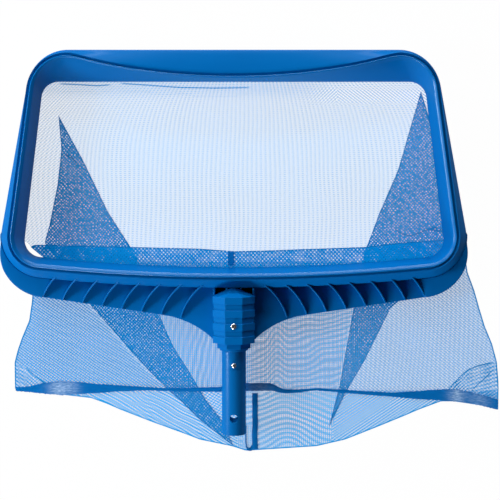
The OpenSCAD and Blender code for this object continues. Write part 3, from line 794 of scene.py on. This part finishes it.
def metal(name, colour, rough):
    """Bright plate: soft turning marks and a little uneven gloss."""
    s = Shader(name)
    marks = s.spread(700.0, 3.0, 0.6)
    tint = s.colour_mix(marks, colour, tuple(c * 0.82 for c in colour))
    return s.finish(
        Base_Color=tint, Metallic=1.0, Roughness=rough + 0.12 * marks,
        Normal=s.bump(0.08, marks, 0.0001),
    )


steel = metal("plated_steel", (0.80, 0.81, 0.83), 0.18)
TURN_STEPS = 40


def turned(name, profile, place, body, stands_for, flip=False):
    """A round part spun from its profile of [radius, height] about the vertical."""
    bm = bmesh.new()
    verts = [bm.verts.new((r * MM, 0, z * MM)) for r, z in profile]
    edges = [bm.edges.new(pair) for pair in zip(verts, verts[1:])]
    bmesh.ops.spin(
        bm, geom=verts + edges, axis=(0, 0, 1), cent=(0, 0, 0), angle=2 * pi,
        steps=TURN_STEPS, use_merge=True,
    )
    bmesh.ops.remove_doubles(bm, verts=bm.verts, dist=0.002 * MM)
    if flip:
        bmesh.ops.scale(bm, verts=bm.verts, vec=(1, 1, -1))
    bmesh.ops.translate(bm, verts=bm.verts, vec=Vector(place) * MM)
    bmesh.ops.recalc_face_normals(bm, faces=bm.faces)
    piece(name, bm, steel, body=body, slot="steel", stands_for=stands_for, limit_deg=28)


head_z = COLLAR_AF / 2
head_angles = [radians(d) for d in (88, 75, 60, 45, 33, 25)]
screw_profile = [
    (0, 10.1), (1.3, 10.6), (1.75, 12.0), (1.75, head_z - 0.02), (3.3, head_z), (3.4, head_z + 0.5),
    *[(3.4 * sin(a), head_z + 0.9 + 1.3 * cos(a)) for a in head_angles],
    (1.15, head_z + 1.5), (1.0, head_z + 0.7), (0.0, head_z + 0.5),
]
turned("screw", screw_profile, (0, SCREW_Y, 0), "head", ["collar_screw"])

FLANGE_R, FLANGE_TOP, DOME = BUTTON_R + 1.1, 11.69, 2.3
dome_z = TUBE_R + 3.6 - DOME
button_profile = [
    (0, FLANGE_TOP - 1), (FLANGE_R - 0.2, FLANGE_TOP - 1), (FLANGE_R, FLANGE_TOP - 0.8),
    (FLANGE_R, FLANGE_TOP), (BUTTON_R, FLANGE_TOP), (BUTTON_R, dome_z),
    *[(BUTTON_R * cos(a), dome_z + DOME * sin(a)) for a in map(radians, range(15, 91, 15))],
]
button_at = (0, BUTTON_Y, 0)
turned("snap_button_top", button_profile, button_at, "top_button", ["button_top"])
turned("snap_button_bottom", button_profile, button_at, "bottom_button", ["button_bottom"], True)

spring_steel = metal("spring_steel", (0.62, 0.63, 0.65), 0.28)
for o in bpy.data.objects:
    if o.get("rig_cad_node") == "button_spring":
        for slot in o.material_slots:
            slot.material = spring_steel

# ---------------------------------------------------------------- net
# Fine blue monofilament mesh, knitted. Each layer of the folded bag is a sheet of its own, and
# where two layers lie together their threads beat into waves, like the grain of wood.

BACK_Z, FOLD_Z, FRONT_Z, HEM_NET_Z = -27.85, -27.1, -26.25, -25.4
MERGE = 0.01
LEFT_EDGE = [
    (-260, 49.5), (-260, 80), (-256, 95), (-251, 109), (-242, 130), (-238.5, 152), (-237, 171.5),
]
RIGHT_EDGE = [
    (314, 46.5), (311, 80.5), (305, 102), (296, 123), (289, 145), (283, 166), (275, 187),
    (273, 199.5),
]
BOTTOM = [
    (-260, 49.5), (-230, 44), (-170, 37), (-151, 30), (-135, 23), (-97, 8), (-59, -6), (-41, -13),
    (-3, -21), (14, -26.5), (98, -21), (132, -13), (167, 1), (203, 16), (219, 23), (245.5, 33),
    (261, 33), (314, 25),
]
# Outlines of the bag's sides, folded in between the panels.
FOLD_L_LEFT = [
    (-205, 371), (-202, 331), (-207, 290), (-217, 243), (-223, 222), (-168, 146), (-134, 107),
    (-122.5, 93), (-105, 74), (-81, 49), (-64, 34), (-40, 10), (-14.5, -10), (-1, -20.5),
]
FOLD_L_RIGHT = [
    (-205, 371), (-177, 319), (-148, 258), (-122, 217), (-115, 204), (-80, 116.5), (-72, 99),
    (-52, 67), (-34.5, 36), (-14.5, 10), (-1, -20.5),
]
FOLD_R_LEFT = [
    (218, 399), (192, 307), (171, 258), (160, 228), (154, 213), (141, 145), (125, 53), (112, 1),
]
FOLD_R_RIGHT = [
    (218, 399), (228, 368), (236, 330), (244, 290), (251, 250), (258, 222), (254, 202), (232, 184),
    (185, 145), (155, 83), (131, 41), (112, 1),
]


def x_along(points, y):
    """X at y on a line of points that run towards the handle."""
    return along([(-b, a) for a, b in points], -y)


def distance_to(points, x, y):
    best = 1e9
    for (xa, ya), (xb, yb) in zip(points, points[1:]):
        dx, dy = xb - xa, yb - ya
        s = min(max(((x - xa) * dx + (y - ya) * dy) / max(dx * dx + dy * dy, 1e-9), 0), 1)
        best = min(best, hypot(x - xa - s * dx, y - ya - s * dy))
    return best


def wave(x, y, scale, seed):
    return noise.noise(Vector((x / scale, y / scale, seed)))


def ramp(value, low, high):
    s = min(max((value - low) / (high - low), 0), 1)
    return s * s * (3 - 2 * s)


def crease_at(creases, x, y):
    """Signed distance from the nearest crease line, and how deep the crease is there."""
    best = (12.0, 0.0)
    for points in creases:
        xa, xb = points[0][0], points[-1][0]
        if xa - 3 <= x <= xb + 3:
            off = y - along(points, min(max(x, xa), xb))
            if abs(off) < 9 and abs(off) < abs(best[0]):
                best = (off, ramp(x, xa - 2, xa + 4) * ramp(-x, -xb - 2, -xb + 4))
    return best


def fill_sheet(bm, weave, traits, outline, creases=()):
    """Give a flat sheet its weave and sheared UV maps and the net's attributes."""
    keys = ("rim", "swell", "dense", "sheared", "crease", "crease_depth")
    layers = {k: bm.verts.layers.float.new(k) for k in keys}
    for v in bm.verts:
        x, y = v.co.x / MM, v.co.y / MM
        v[layers["rim"]] = min(distance_to(outline, x, y), 12.0)
        for key, value in zip(("swell", "dense", "sheared"), traits(x, y)):
            v[layers[key]] = value
        v[layers["crease"]], v[layers["crease_depth"]] = crease_at(creases, x, y)
    maps = [bm.loops.layers.uv.new(k) for k in ("weave", "shear", "ripples")]
    for f in bm.faces:
        middle = f.calc_center_median() / MM
        for loop in f.loops:
            places = weave(loop.vert.co.x / MM, loop.vert.co.y / MM, middle.x, middle.y)
            for layer, place in zip(maps, places):
                loop[layer].uv = place


def net_cloth(name, thread, coverage, weave, shear=0.0, ripple=0.0, specks=0.0, edge=0.5,
              crease=0.5, dense=0.0, streaks=0.0):
    """Open mesh: the share of each spot that thread covers becomes the surface's alpha."""
    s = Shader(name)

    def uv(layer):
        first, second = s.parts(s.node("ShaderNodeUVMap", {"uv_map": layer}))
        return first * (2 * pi), second * (2 * pi)

    drift = s.spread(14.0, 2.0, 0.55)
    u, v = uv("weave")
    lines, threads, knots = weave
    across, down = u.sine(), v.sine()
    grid = lines * across + threads * down + knots * (across * down)
    if shear:
        a, b = uv("shear")
        hatch = shear * (0.95 * a.sine() + 0.25 * b.sine())
        blend = s.attribute("sheared")
        grid = grid * (1 - blend) + hatch * blend
    cover = coverage + grid * (0.6 + 0.8 * drift)
    if dense:
        cover = cover + dense * s.attribute("dense")
    if ripple:
        crest = 0.5 + 0.5 * uv("ripples")[0].sine()
        swell = s.attribute("swell")
        wander = (0.4 + 0.9 * s.spread(38.0, 2.0, 0.6)).clamp(0.25, 1.0)
        cover = cover - ripple * (crest * swell * wander - 0.35 * swell)
    if streaks:
        cloud = s.spread(1.0, 3.0, 0.55, s.stretched(70.0, 110.0))
        fine = s.spread(1.0, 2.0, 0.6, s.stretched(760.0, 90.0))
        cover = cover + streaks * (cloud + 0.55 * fine - 0.8)
    if specks:
        holes = (0.25 * ((1 - across) * (1 - down))).step(0.18, 0.80)
        uneven = s.spread(300.0, 2.0, 0.6).step(0.36, 0.62)
        cover = cover - specks * (holes * (0.2 + 1.0 * uneven))
    line = s.attribute("crease")
    near = (1 - (line * line).step(0.16, 1.1)) * s.attribute("crease_depth")
    border = 1 - s.attribute("rim").step(0.7, 2.0)
    cover = cover + crease * near + edge * border

    def dyed(green, blue):
        return 0.0, green * thread[1], blue * thread[2]

    tint = s.colour_mix(drift.step(0.3, 0.7), dyed(0.88, 0.88), dyed(0.80, 0.80))
    if dense > 0.3:
        tint = s.colour_mix(s.attribute("dense").clamp(), tint, dyed(0.62, 0.66))
    tint = s.colour_mix((0.85 * near + 0.8 * border).clamp(), tint, dyed(0.42, 0.50))
    # The threads also glow faintly in their own colour: painted light, standing in for light that
    # passes through the translucent threads, and lifting them where they lie in shade.
    return s.finish(
        Base_Color=tint, Roughness=0.55, Alpha=cover.clamp(), Specular_IOR_Level=0.08,
        Emission_Color=(*thread, 1.0), Emission_Strength=0.28,
    )


LEFT_TOP = [(-250, 225), (-245, 223.5), (-239, 217), (-225, 205), (-232, 190)]


def left_side(y):
    """The panels' left edge: free below the hoop, then under the ring beside the mouth."""
    if y > 225:
        return -(4.0 + MOUTH[0] + lean(MOUTH) * (MOUTH_FAR - y))
    return x_along(LEFT_TOP + LEFT_EDGE[::-1], y)


def right_side(y):
    return x_along([(229, 417)] + RIGHT_EDGE[::-1], y)


def panel_place(low, join, high, share):
    """Rows of a panel: the lowest share of them eases from its lower line to a level row."""

    def place(a, b):
        if b < share:
            x = left_side(join) + (right_side(join) - left_side(join)) * a
            return x, join + (along(low, x) - join) * (1 - b / share)
        y = join + (high - join) * (b - share) / (1 - share)
        return left_side(y) + (right_side(y) - left_side(y)) * a, y

    return place


def column_place(low, high, x_left, x_right):
    def place(a, b):
        x = x_left + (x_right - x_left) * a
        return x, along(low, x) + (along(high, x) - along(low, x)) * b

    return place


def grid_sheet(columns, rows, place):
    """A grid placed, in millimetres, by each vertex's shares of the width and the length."""
    bm = bmesh.new()
    bmesh.ops.create_grid(bm, x_segments=columns, y_segments=rows, size=0.5)
    for v in bm.verts:
        v.co = Vector(place(v.co.x + 0.5, v.co.y + 0.5)) * MM
    return bm


def net_sheet(name, columns, rows, place, height, weave, traits, outline, material, stands_for,
              slot, creases=()):
    """A sheet of net: its place in plan, and its height, weave and traits at each place."""

    def spot(a, b):
        x, y = place(a, b)
        return x, y, height(x, y)

    bm = grid_sheet(columns, rows, spot)
    bmesh.ops.remove_doubles(bm, verts=bm.verts, dist=MERGE * MM)
    fill_sheet(bm, weave, traits, outline, creases)
    area = sum(f.calc_area() for f in bm.faces)
    made = piece(name, bm, material, slot=slot, stands_for=stands_for, limit_deg=180)


def back_height(x, y):
    return BACK_Z + 0.25 * wave(x, y, 60, 1)


MOUTH_MID_X = 20.0


def mouth_weave(x, y):
    """Wales that close up towards the middle as they near the leading side, and courses."""
    d = max(MOUTH_FAR - y, 0.0)
    pull = 1 + 0.30 * exp(-d / 30.0) + 0.05 * wave(x, y, 130, 4)
    u = (x - MOUTH_MID_X) * pull / 5.35 + 0.35 * wave(x, y, 55, 5)
    v = (y + 5.0 * wave(x, y, 110, 7)) / 2.2
    return u, v


def tail_ripples(x, y):
    """Waves between the layers of the tail, below the bottom seam."""
    kite_l, kite_r = x_along(FOLD_L_LEFT, y), x_along(FOLD_R_LEFT, y)
    if x < kite_l + 12:
        kink = 3.2 * exp(-(((x + 108) / 9) ** 2)) - 2.6 * exp(-(((x + 34) / 7) ** 2))
        return (0.50 * x + 0.86 * y + kink + 2.2 * wave(x, y, 26, 61)) / 4.3, 0.95
    if 11 < x < 20.5 and y < 3:
        return x / 2.4, 1.3 * ramp(-y, -3, 2)
    if x < 4:
        return (0.72 * x - 0.69 * y + 1.2 * wave(x, y, 16, 62)) / 3.5, 0.95
    if x < kite_r + 4:
        hill = 15 * exp(-(((x - 62) / 27) ** 2)) - 6 * ramp(x, 84, 118)
        fade = 0.35 + 0.65 * (1 - ramp(y, 12, 34) * ramp(x, 44, 58))
        return (y - hill + 4 * wave(x, y, 30, 63)) / 6.4, fade
    return (0.83 * y - 0.56 * x) / 3.3, 0.55


def back_weave(x, y, mx, my):
    main = mouth_weave(x, y)
    sheared = (0.68 * x - 0.73 * y + 2.0 * wave(x, y, 50, 9)) / 2.7, (0.73 * x + 0.68 * y) / 3.4
    if my < 50:
        if mx < 4:
            bent = 0.5 * x + 0.86 * y + 2.2 * wave(x, y, 26, 61)
            sheared = bent / 2.9, (0.8 * x - 0.6 * y) / 2.6
        elif mx < x_along(FOLD_R_LEFT, my) + 4:
            sheared = x / 2.4, y / 2.5
        else:
            sheared = (0.83 * y - 0.56 * x) / 2.9, (0.6 * x + 0.8 * y) / 2.9
    elif mx > 120:
        sheared = (0.6 * x + 0.8 * y) / 2.7, (0.8 * x - 0.6 * y) / 3.4
    return main, sheared, (tail_ripples(x, y)[0] if my < 60 else 0.0, 0.0)


def back_traits(x, y):
    tail = 1 - ramp(y, 44, 48)
    swell = tail * tail_ripples(x, y)[1] if y < 50 else 0.0
    fold_x = x_along(FOLD_L_LEFT, min(y, 370))
    left = 1 - ramp(x, fold_x + 2, fold_x + 34)
    right = ramp(x, 60, 120) * ramp(y, 378, 390) * (1 - ramp(y, 398, 409))
    crown = 0.30 * ramp(y, 386, 404) * (1 - ramp(x, 60, 140)) if y > 60 else 0.0
    rest = 1 - tail
    return swell, tail + crown * rest, max(0.5 * left * rest, 0.8 * right * rest, tail)


BACK_CREASES = [
    [(-203, 407.5), (-178, 406.5), (-160, 405.3), (-144, 406.3)],
    [(-132, 408.0), (-98, 405.8), (-62, 403.2), (-22, 402.6), (18, 403.2)],
]
THREAD = (0.0, 0.43, 0.98)
back_net = net_cloth("net_single", THREAD, 0.34, (0.08, 0.07, 0.06), shear=0.22, ripple=0.28,
                     dense=0.38, edge=0.45, crease=0.42)
net_sheet("net_back", 200, 170, panel_place(BOTTOM, 50.0, 415.5, 0.2), back_height, back_weave,
          back_traits, LEFT_EDGE[::-1] + BOTTOM[1:] + RIGHT_EDGE, back_net, ["back_panel"], "net",
          BACK_CREASES)


FRONT_LOW = [
    (-260, 48), (-228, 49), (-177, 49), (-99, 48.5), (-16, 48), (14, 50.5), (42, 50.5), (59, 45.5),
    (94, 48), (159, 43.5), (218, 41), (265, 40), (314, 29),
]


def front_height(x, y):
    inside = ramp(-y, -168, -140) * ramp(y, 50, 72) * ramp(x, -256, -225) * ramp(-x, -308, -278)
    return FRONT_Z + inside * (1.6 + 1.6 * wave(x, y, 48, 11)) + 0.12 * wave(x, y, 20, 2)


CORNER_R_FOLD = [(250, 46), (255, 50), (276, 71.5), (306, 80), (314, 82)]
CORNER_L_FOLD = [(-262, 80), (-247, 72.7), (-218, 49)]


def corner_line(x, anywhere=False):
    """Y of the fold that cuts off a lower corner of the front panel, where there is one."""
    for fold in (CORNER_L_FOLD, CORNER_R_FOLD):
        if fold[0][0] <= x <= fold[-1][0] or (anywhere and (x > 0) == (fold[0][0] > 0)):
            return along(fold, x)
    return None


def front_zone(x, y):
    """1 left of the folded sides, 2 between them left of the tube, 3 right of it, 4 outside."""
    if x < x_along(FOLD_L_LEFT, y) + 14:
        return 1
    if x > x_along(FOLD_R_RIGHT, y) - 10:
        return 4
    return 2 if x < 0 else 3


def front_weave(x, y, mx, my):
    zone = front_zone(mx, my)
    corner = corner_line(mx)
    if corner is not None and my < corner:
        main = ((0.72 * x + 0.69 * y) / 3.05, (0.72 * x - 0.69 * y) / 3.05)
        return main, main, ((y - corner_line(x, True) + 2.4 * wave(x, y, 13, 35)) / 4.6, 0.0)
    if zone == 1:
        bend = 4.0 * exp(-(x + 258) / 14.0) * wave(x, y, 40, 24)
        main = ((0.58 * x + 0.81 * y + bend + 1.2 * wave(x, y, 45, 21)) / 2.75,
                (0.81 * x - 0.58 * y + 1.5 * wave(x, y, 38, 22)) / 3.1)
        waves = (0.35 * x + 0.94 * y + 5 * wave(x, y, 60, 25)) / 7.5
    elif zone == 4:
        main = ((0.62 * x + 0.79 * y + 1.5 * wave(x, y, 60, 26)) / 2.8,
                (0.79 * x - 0.62 * y + 1.5 * wave(x, y, 60, 27)) / 2.8)
        waves = (x * 0.6 + y * 0.8 + 7 * wave(x, y, 70, 28)) / 9.0
    elif zone == 2:
        main = x / 2.5, y / 2.7
        waves = (x - 0.24 * (y - 50) + 4 * wave(x, y, 30, 29)) / 7.6
    else:
        main = x / 2.5, y / 2.7
        lift = 9 * wave(x, y, 46, 30) + 3.5 * wave(x, y, 19, 31)
        waves = (y - 0.24 * x - lift - 12 * exp(-(((x - 50) / 9) ** 2))) / 6.9
    return main, main, (waves, 0.0)


def over_fold(left, right, x, y):
    """1 where the front panel lies over a folded side, with soft edges."""
    xa, xb = x_along(left, y), x_along(right, y)
    return ramp(x, xa - 2, xa + 1) * ramp(-x, -xb - 1, -xb + 2)


def front_traits(x, y):
    zone = front_zone(x, y)
    corner = corner_line(x)
    if corner is not None and y < corner:
        return 1.7, 0.1 + 0.5 * wave(x, y, 14, 36), 0.2
    over_left = over_fold(FOLD_L_LEFT, FOLD_L_RIGHT, x, y)
    over_right = over_fold(FOLD_R_LEFT, FOLD_R_RIGHT, x, y)
    if max(over_left, over_right) > 0.3:
        return 0.2, -0.8, 0.2
    if zone == 1:
        return 0.25, 0.25, 1.0
    if zone == 4:
        return 0.10, -0.45, 0.45
    if zone == 2:
        return 0.35 + 0.65 * exp(-(((x + 42 - 0.2 * (y - 70)) / 14) ** 2)), 0.15, 0.0
    return 0.9, 0.1, 0.0


FRONT_CREASES = [
    [(-246, 73), (-238, 66), (-230, 59), (-219, 51)],
    [(255, 50), (262, 57), (270, 66), (276.5, 71.5), (288, 76), (306, 80)],
    [(282, 47), (290, 55), (300, 64), (305, 70)],
    [(261.5, 50), (265, 54), (268.5, 57.5)],
]
front_net = net_cloth("net_double", (0.0, 0.28, 0.68), 0.57, (0.14, 0.10, 0.05), shear=0.30,
                      ripple=0.30, dense=0.31, crease=0.6)
net_sheet("net_front", 200, 80, panel_place(FRONT_LOW, 56.0, 199.5, 0.15), front_height,
          front_weave, front_traits, LEFT_EDGE[::-1] + [(314, 20)] + RIGHT_EDGE, front_net,
          ["front_panel"], "net", FRONT_CREASES)


def fold_weave(x, y, mx, my):
    main = ((0.72 * x + 0.69 * y + 2.0 * wave(x, y, 22, 71) + 1.1 * wave(x, y, 7, 74)) / 2.75,
            (0.74 * x - 0.67 * y + 2.0 * wave(x, y, 24, 72) + 1.1 * wave(x, y, 7, 75)) / 2.75)
    return main, main, ((0.5 * x + 0.8 * y + 8 * wave(x, y, 34, 73)) / 11.0, 0.0)


def fold_height(x, y):
    return FOLD_Z + 0.18 * wave(x, y, 30, 31)


def fold_traits(x, y):
    return 0.7, wave(x, y, 40, 33), 0.0


def fold_sheet(name, left, right, stands_for, material, creases):
    """One side of the bag, folded in: a long kite that lies between the two panels."""
    top, bottom = left[0][1], left[-1][1]

    def place(a, b):
        y = bottom + (top - bottom) * b
        xa, xb = x_along(left, y), x_along(right, y)
        return xa + (xb - xa) * a, y

    net_sheet(name, 26, 170, place, fold_height, fold_weave, fold_traits, left + right[::-1],
              material, stands_for, "net", creases)


FOLD_THREAD, FOLD_KNIT = (0.0, 0.22, 0.60), (0.05, 0.05, 0.0)
left_fold_net = net_cloth("net_folded_left", FOLD_THREAD, 1.12, FOLD_KNIT, ripple=0.10,
                          specks=1.1, dense=0.12)
right_fold_net = net_cloth("net_folded_right", FOLD_THREAD, 1.08, FOLD_KNIT, ripple=0.10,
                           specks=1.25, dense=0.12)
fold_sheet("net_fold_left", FOLD_L_LEFT, FOLD_L_RIGHT, ["fold_left"], left_fold_net,
           [[(-199, 325), (-190, 321), (-181, 309)], [(-200, 326.5), (-190, 323), (-182, 311.5)]])
fold_sheet("net_fold_right", FOLD_R_LEFT, FOLD_R_RIGHT, ["fold_right"],
           right_fold_net,
           [[(189, 238), (198, 232), (209, 230), (219, 234), (229, 238), (246, 235)],
            [(231, 240.3), (238, 240), (246, 237)], [(232, 236), (239, 236), (246, 233)]])

# ---------------------------------------------------------------- hem
# The front panel's top edge turns back under the handle side of the mouth, and a cord inside
# the hem holds the net in the ring's channel.

HEM_TOP = [
    (-239, 217.3), (-236, 219), (-232, 219.6), (-222, 219.6), (-122, 217), (-40, 215), (0, 212),
    (42, 213), (154, 217), (195, 222), (240, 225), (253, 226),
]
HEM_LOW = [
    (-239, 216.8), (-225, 205), (-212, 198.5), (-122, 193.5), (0, 185.5), (122, 190.5),
    (240, 197.5), (253, 199),
]


def hem_weave(x, y, mx, my):
    main = (0.72 * x + 0.69 * y) / 3.2, (0.74 * x - 0.67 * y) / 3.2
    return main, main, (0.0, 0.0)


def hem_traits(x, y):
    """Close beside the folded sides and open between them."""
    middle = ramp(x, -122, -110) * ramp(-x, -158, -148)
    corner = ramp(x, 222, 228)
    return 0.0, 1.0 - 0.95 * middle - 1.0 * corner, 0.0


hem_net = net_cloth("net_hem", (0.0, 0.25, 0.66), 0.95, (0.04, 0.0, 0.0), specks=0.7, edge=0.3,
                    crease=0.0, dense=0.26, streaks=0.8)
net_sheet("net_hem_turned", 170, 14, column_place(HEM_LOW, HEM_TOP, -239, 253),
          lambda x, y: HEM_NET_Z + 0.1 * wave(x, y, 25, 41), hem_weave, hem_traits, HEM_TOP,
          hem_net, ["hem_fold_band"], "hem_net")


RIB_RATE = 5200.0


def tape(name):
    """Close-woven tape: fine crossing ribs and a dull blue."""
    s = Shader(name)
    x, y = s.parts(s.place())
    ribs = ((x + y) * RIB_RATE).sine() * ((x - y) * RIB_RATE).sine()
    wear = s.spread(120.0, 3.0, 0.6)
    tint = s.colour_mix((0.5 + 0.35 * ribs) * wear, (0.0, 0.135, 0.47), (0.0, 0.23, 0.66))
    # Paler patches, given by the strip's own vertex attribute, broken into long streaks.
    drawn = s.spread(1.0, 2.0, 0.6, s.stretched(180.0, 760.0)).step(0.40, 0.62)
    pale_share = (s.attribute("pale_patch") * (0.35 + 0.65 * drawn)).clamp()
    tint = s.colour_mix(pale_share, tint, (0.42, 0.62, 0.90))
    return s.finish(
        Base_Color=tint, Roughness=0.75, Normal=s.bump(0.4, ribs), Specular_IOR_Level=0.05
    )


seam_tape = tape("seam_tape")

cord_mid, cord_z = CHANNEL_IN + CHANNEL_W / 2, CHANNEL_FLOOR + 0.2 + CORD_D / 2
cord_angles = [2 * pi * k / 12 for k in range(12)]
cord_laps = mouth_laps([
    (cord_mid + CORD_D / 2 * cos(a), cord_z + CORD_D / 2 * sin(a)) for a in cord_angles
])
piece("hem_cord_braid", swept(cord_laps), seam_tape, slot="cord", stands_for=["hem_cord"])

NET_T = 0.6
HEM_Z = FOOT - 0.3
out = CHANNEL_OUT + 0.3
top = CHANNEL_TOP + 0.3
over = cord_mid - 0.3
hem_laps = mouth_laps([
    (0.5, HEM_Z - NET_T), (0.4, HEM_Z - NET_T / 2), (0.5, HEM_Z), (out, HEM_Z), (out, top),
    (over, top), (over, top + NET_T), (out + NET_T, top + NET_T), (out + NET_T, HEM_Z - NET_T),
])
piece("hem_wrap", swept(hem_laps), seam_tape, slot="hem_net", stands_for=["hem_band"])

# ---------------------------------------------------------------- seams
# Folded tape sewn over the bag's bottom seam, over the lengthwise seam on the tail, and the
# same seam where it crosses the turned hem.


# Patches where the tape is paler: X, half width and how pale.
PALE_PATCHES = ((-208, 11, 1.0), (-192, 8, 0.55), (264, 9, 1.0), (290, 12, 0.5), (30, 14, 0.35))


def show_tape(name, bm, thickness, stands_for=()):
    bmesh.ops.solidify(bm, geom=bm.faces[:], thickness=thickness * MM)
    bmesh.ops.recalc_face_normals(bm, faces=bm.faces)
    piece(name, bm, seam_tape, slot="seam_tape", stands_for=stands_for, limit_deg=60)


def tape_strip(name, line, z, thickness, stands_for, columns):
    """A strip of tape along a line of [x, y, half width], with soft edges."""
    bm = bmesh.new()
    bmesh.ops.create_grid(bm, x_segments=columns, y_segments=6, size=0.5)
    xs = [p[0] for p in line]
    centre = [(p[0], p[1]) for p in line]
    halves = [(p[0], p[2]) for p in line]
    pale_patch = bm.verts.layers.float.new("pale_patch")
    for v in bm.verts:
        x = xs[0] + (xs[-1] - xs[0]) * (v.co.x + 0.5)
        s = v.co.y * 2
        teeth = 0.9 * abs(s) ** 5 * wave(x, 3 * s, 1.7, 52)
        y = along(centre, x) + s * (along(halves, x) + teeth)
        v.co = Vector((x, y, z + 0.35 * (1 - s * s) + 0.08 * wave(x, y, 9, 50))) * MM
        # Paler in the listed patches, most along the tape's middle.
        paleness = sum(share * exp(-(((x - at) / width) ** 2)) for at, width, share in PALE_PATCHES)
        v[pale_patch] = (1 - 0.55 * s * s) * paleness
    show_tape(name, bm, thickness, stands_for)


BOTTOM_SEAM = [
    (-259, 48, 2.2), (-242, 48, 3.5), (-228, 49, 6.1), (-204.5, 49.5, 8.7), (-178, 49.3, 6.7),
    (-169, 49, 5.9), (-134, 49, 3.5), (-99, 48.5, 2.0), (-81, 47.6, 1.7), (-52, 47.5, 2.2),
    (-16, 48, 3.0), (13.5, 50.8, 4.7), (42, 50.8, 4.7), (47.5, 49.6, 4.1), (53.5, 47.2, 3.1),
    (59.5, 45.5, 2.4), (77, 46, 1.9), (94.5, 48, 1.4), (112, 47, 1.6), (130, 45.5, 1.9),
    (159, 43.4, 2.2), (188.5, 41.4, 2.5), (218, 41, 5.0), (241, 41.4, 6.5), (253, 41, 7.3),
    (264.5, 40.5, 7.4), (282, 37.5, 6.8), (313, 29.5, 6.0),
]
tape_strip("seam_bottom", BOTTOM_SEAM, -25.2, 0.4, ["bottom_seam"], 420)

TAPE_HALF = 3.5


def centre_place(a, b):
    y, s = -24.5 + 67.5 * b, 2 * a - 1
    return 24.6 + 0.6 * wave(0, y, 16, 3) + s * TAPE_HALF, y, -27.0 + 0.3 * (1 - s * s)


def hem_place(a, b):
    return -3.7 + (2 * a - 1) * TAPE_HALF, 195.2 + 16 * b, -24.75


show_tape("seam_centre", grid_sheet(6, 60, centre_place), 0.35, ["centre_seam"])

# The tape's tail doubles back in a small loop with a gathered thread beside it.
LOOP = [(24.2, -14), (23.2, -20), (20.5, -24), (17.2, -25), (14.8, -22), (13.8, -16), (13.6, 4)]


def loop_place(a, b):
    t = (1 - b) * (len(LOOP) - 1)
    k = min(int(t), len(LOOP) - 2)
    start, end = Vector(LOOP[k]), Vector(LOOP[k + 1])
    mid, way = start.lerp(end, t - k), (end - start).normalized()
    off = (2.4 - 1.7 * ramp(t, 1.5, 5.0)) * (2 * a - 1)
    return mid.x - way.y * off, mid.y + way.x * off, -26.9


show_tape("seam_loop", grid_sheet(4, 36, loop_place), 0.3)
show_tape("seam_hem", grid_sheet(4, 16, hem_place), -0.35, ["hem_seam"])
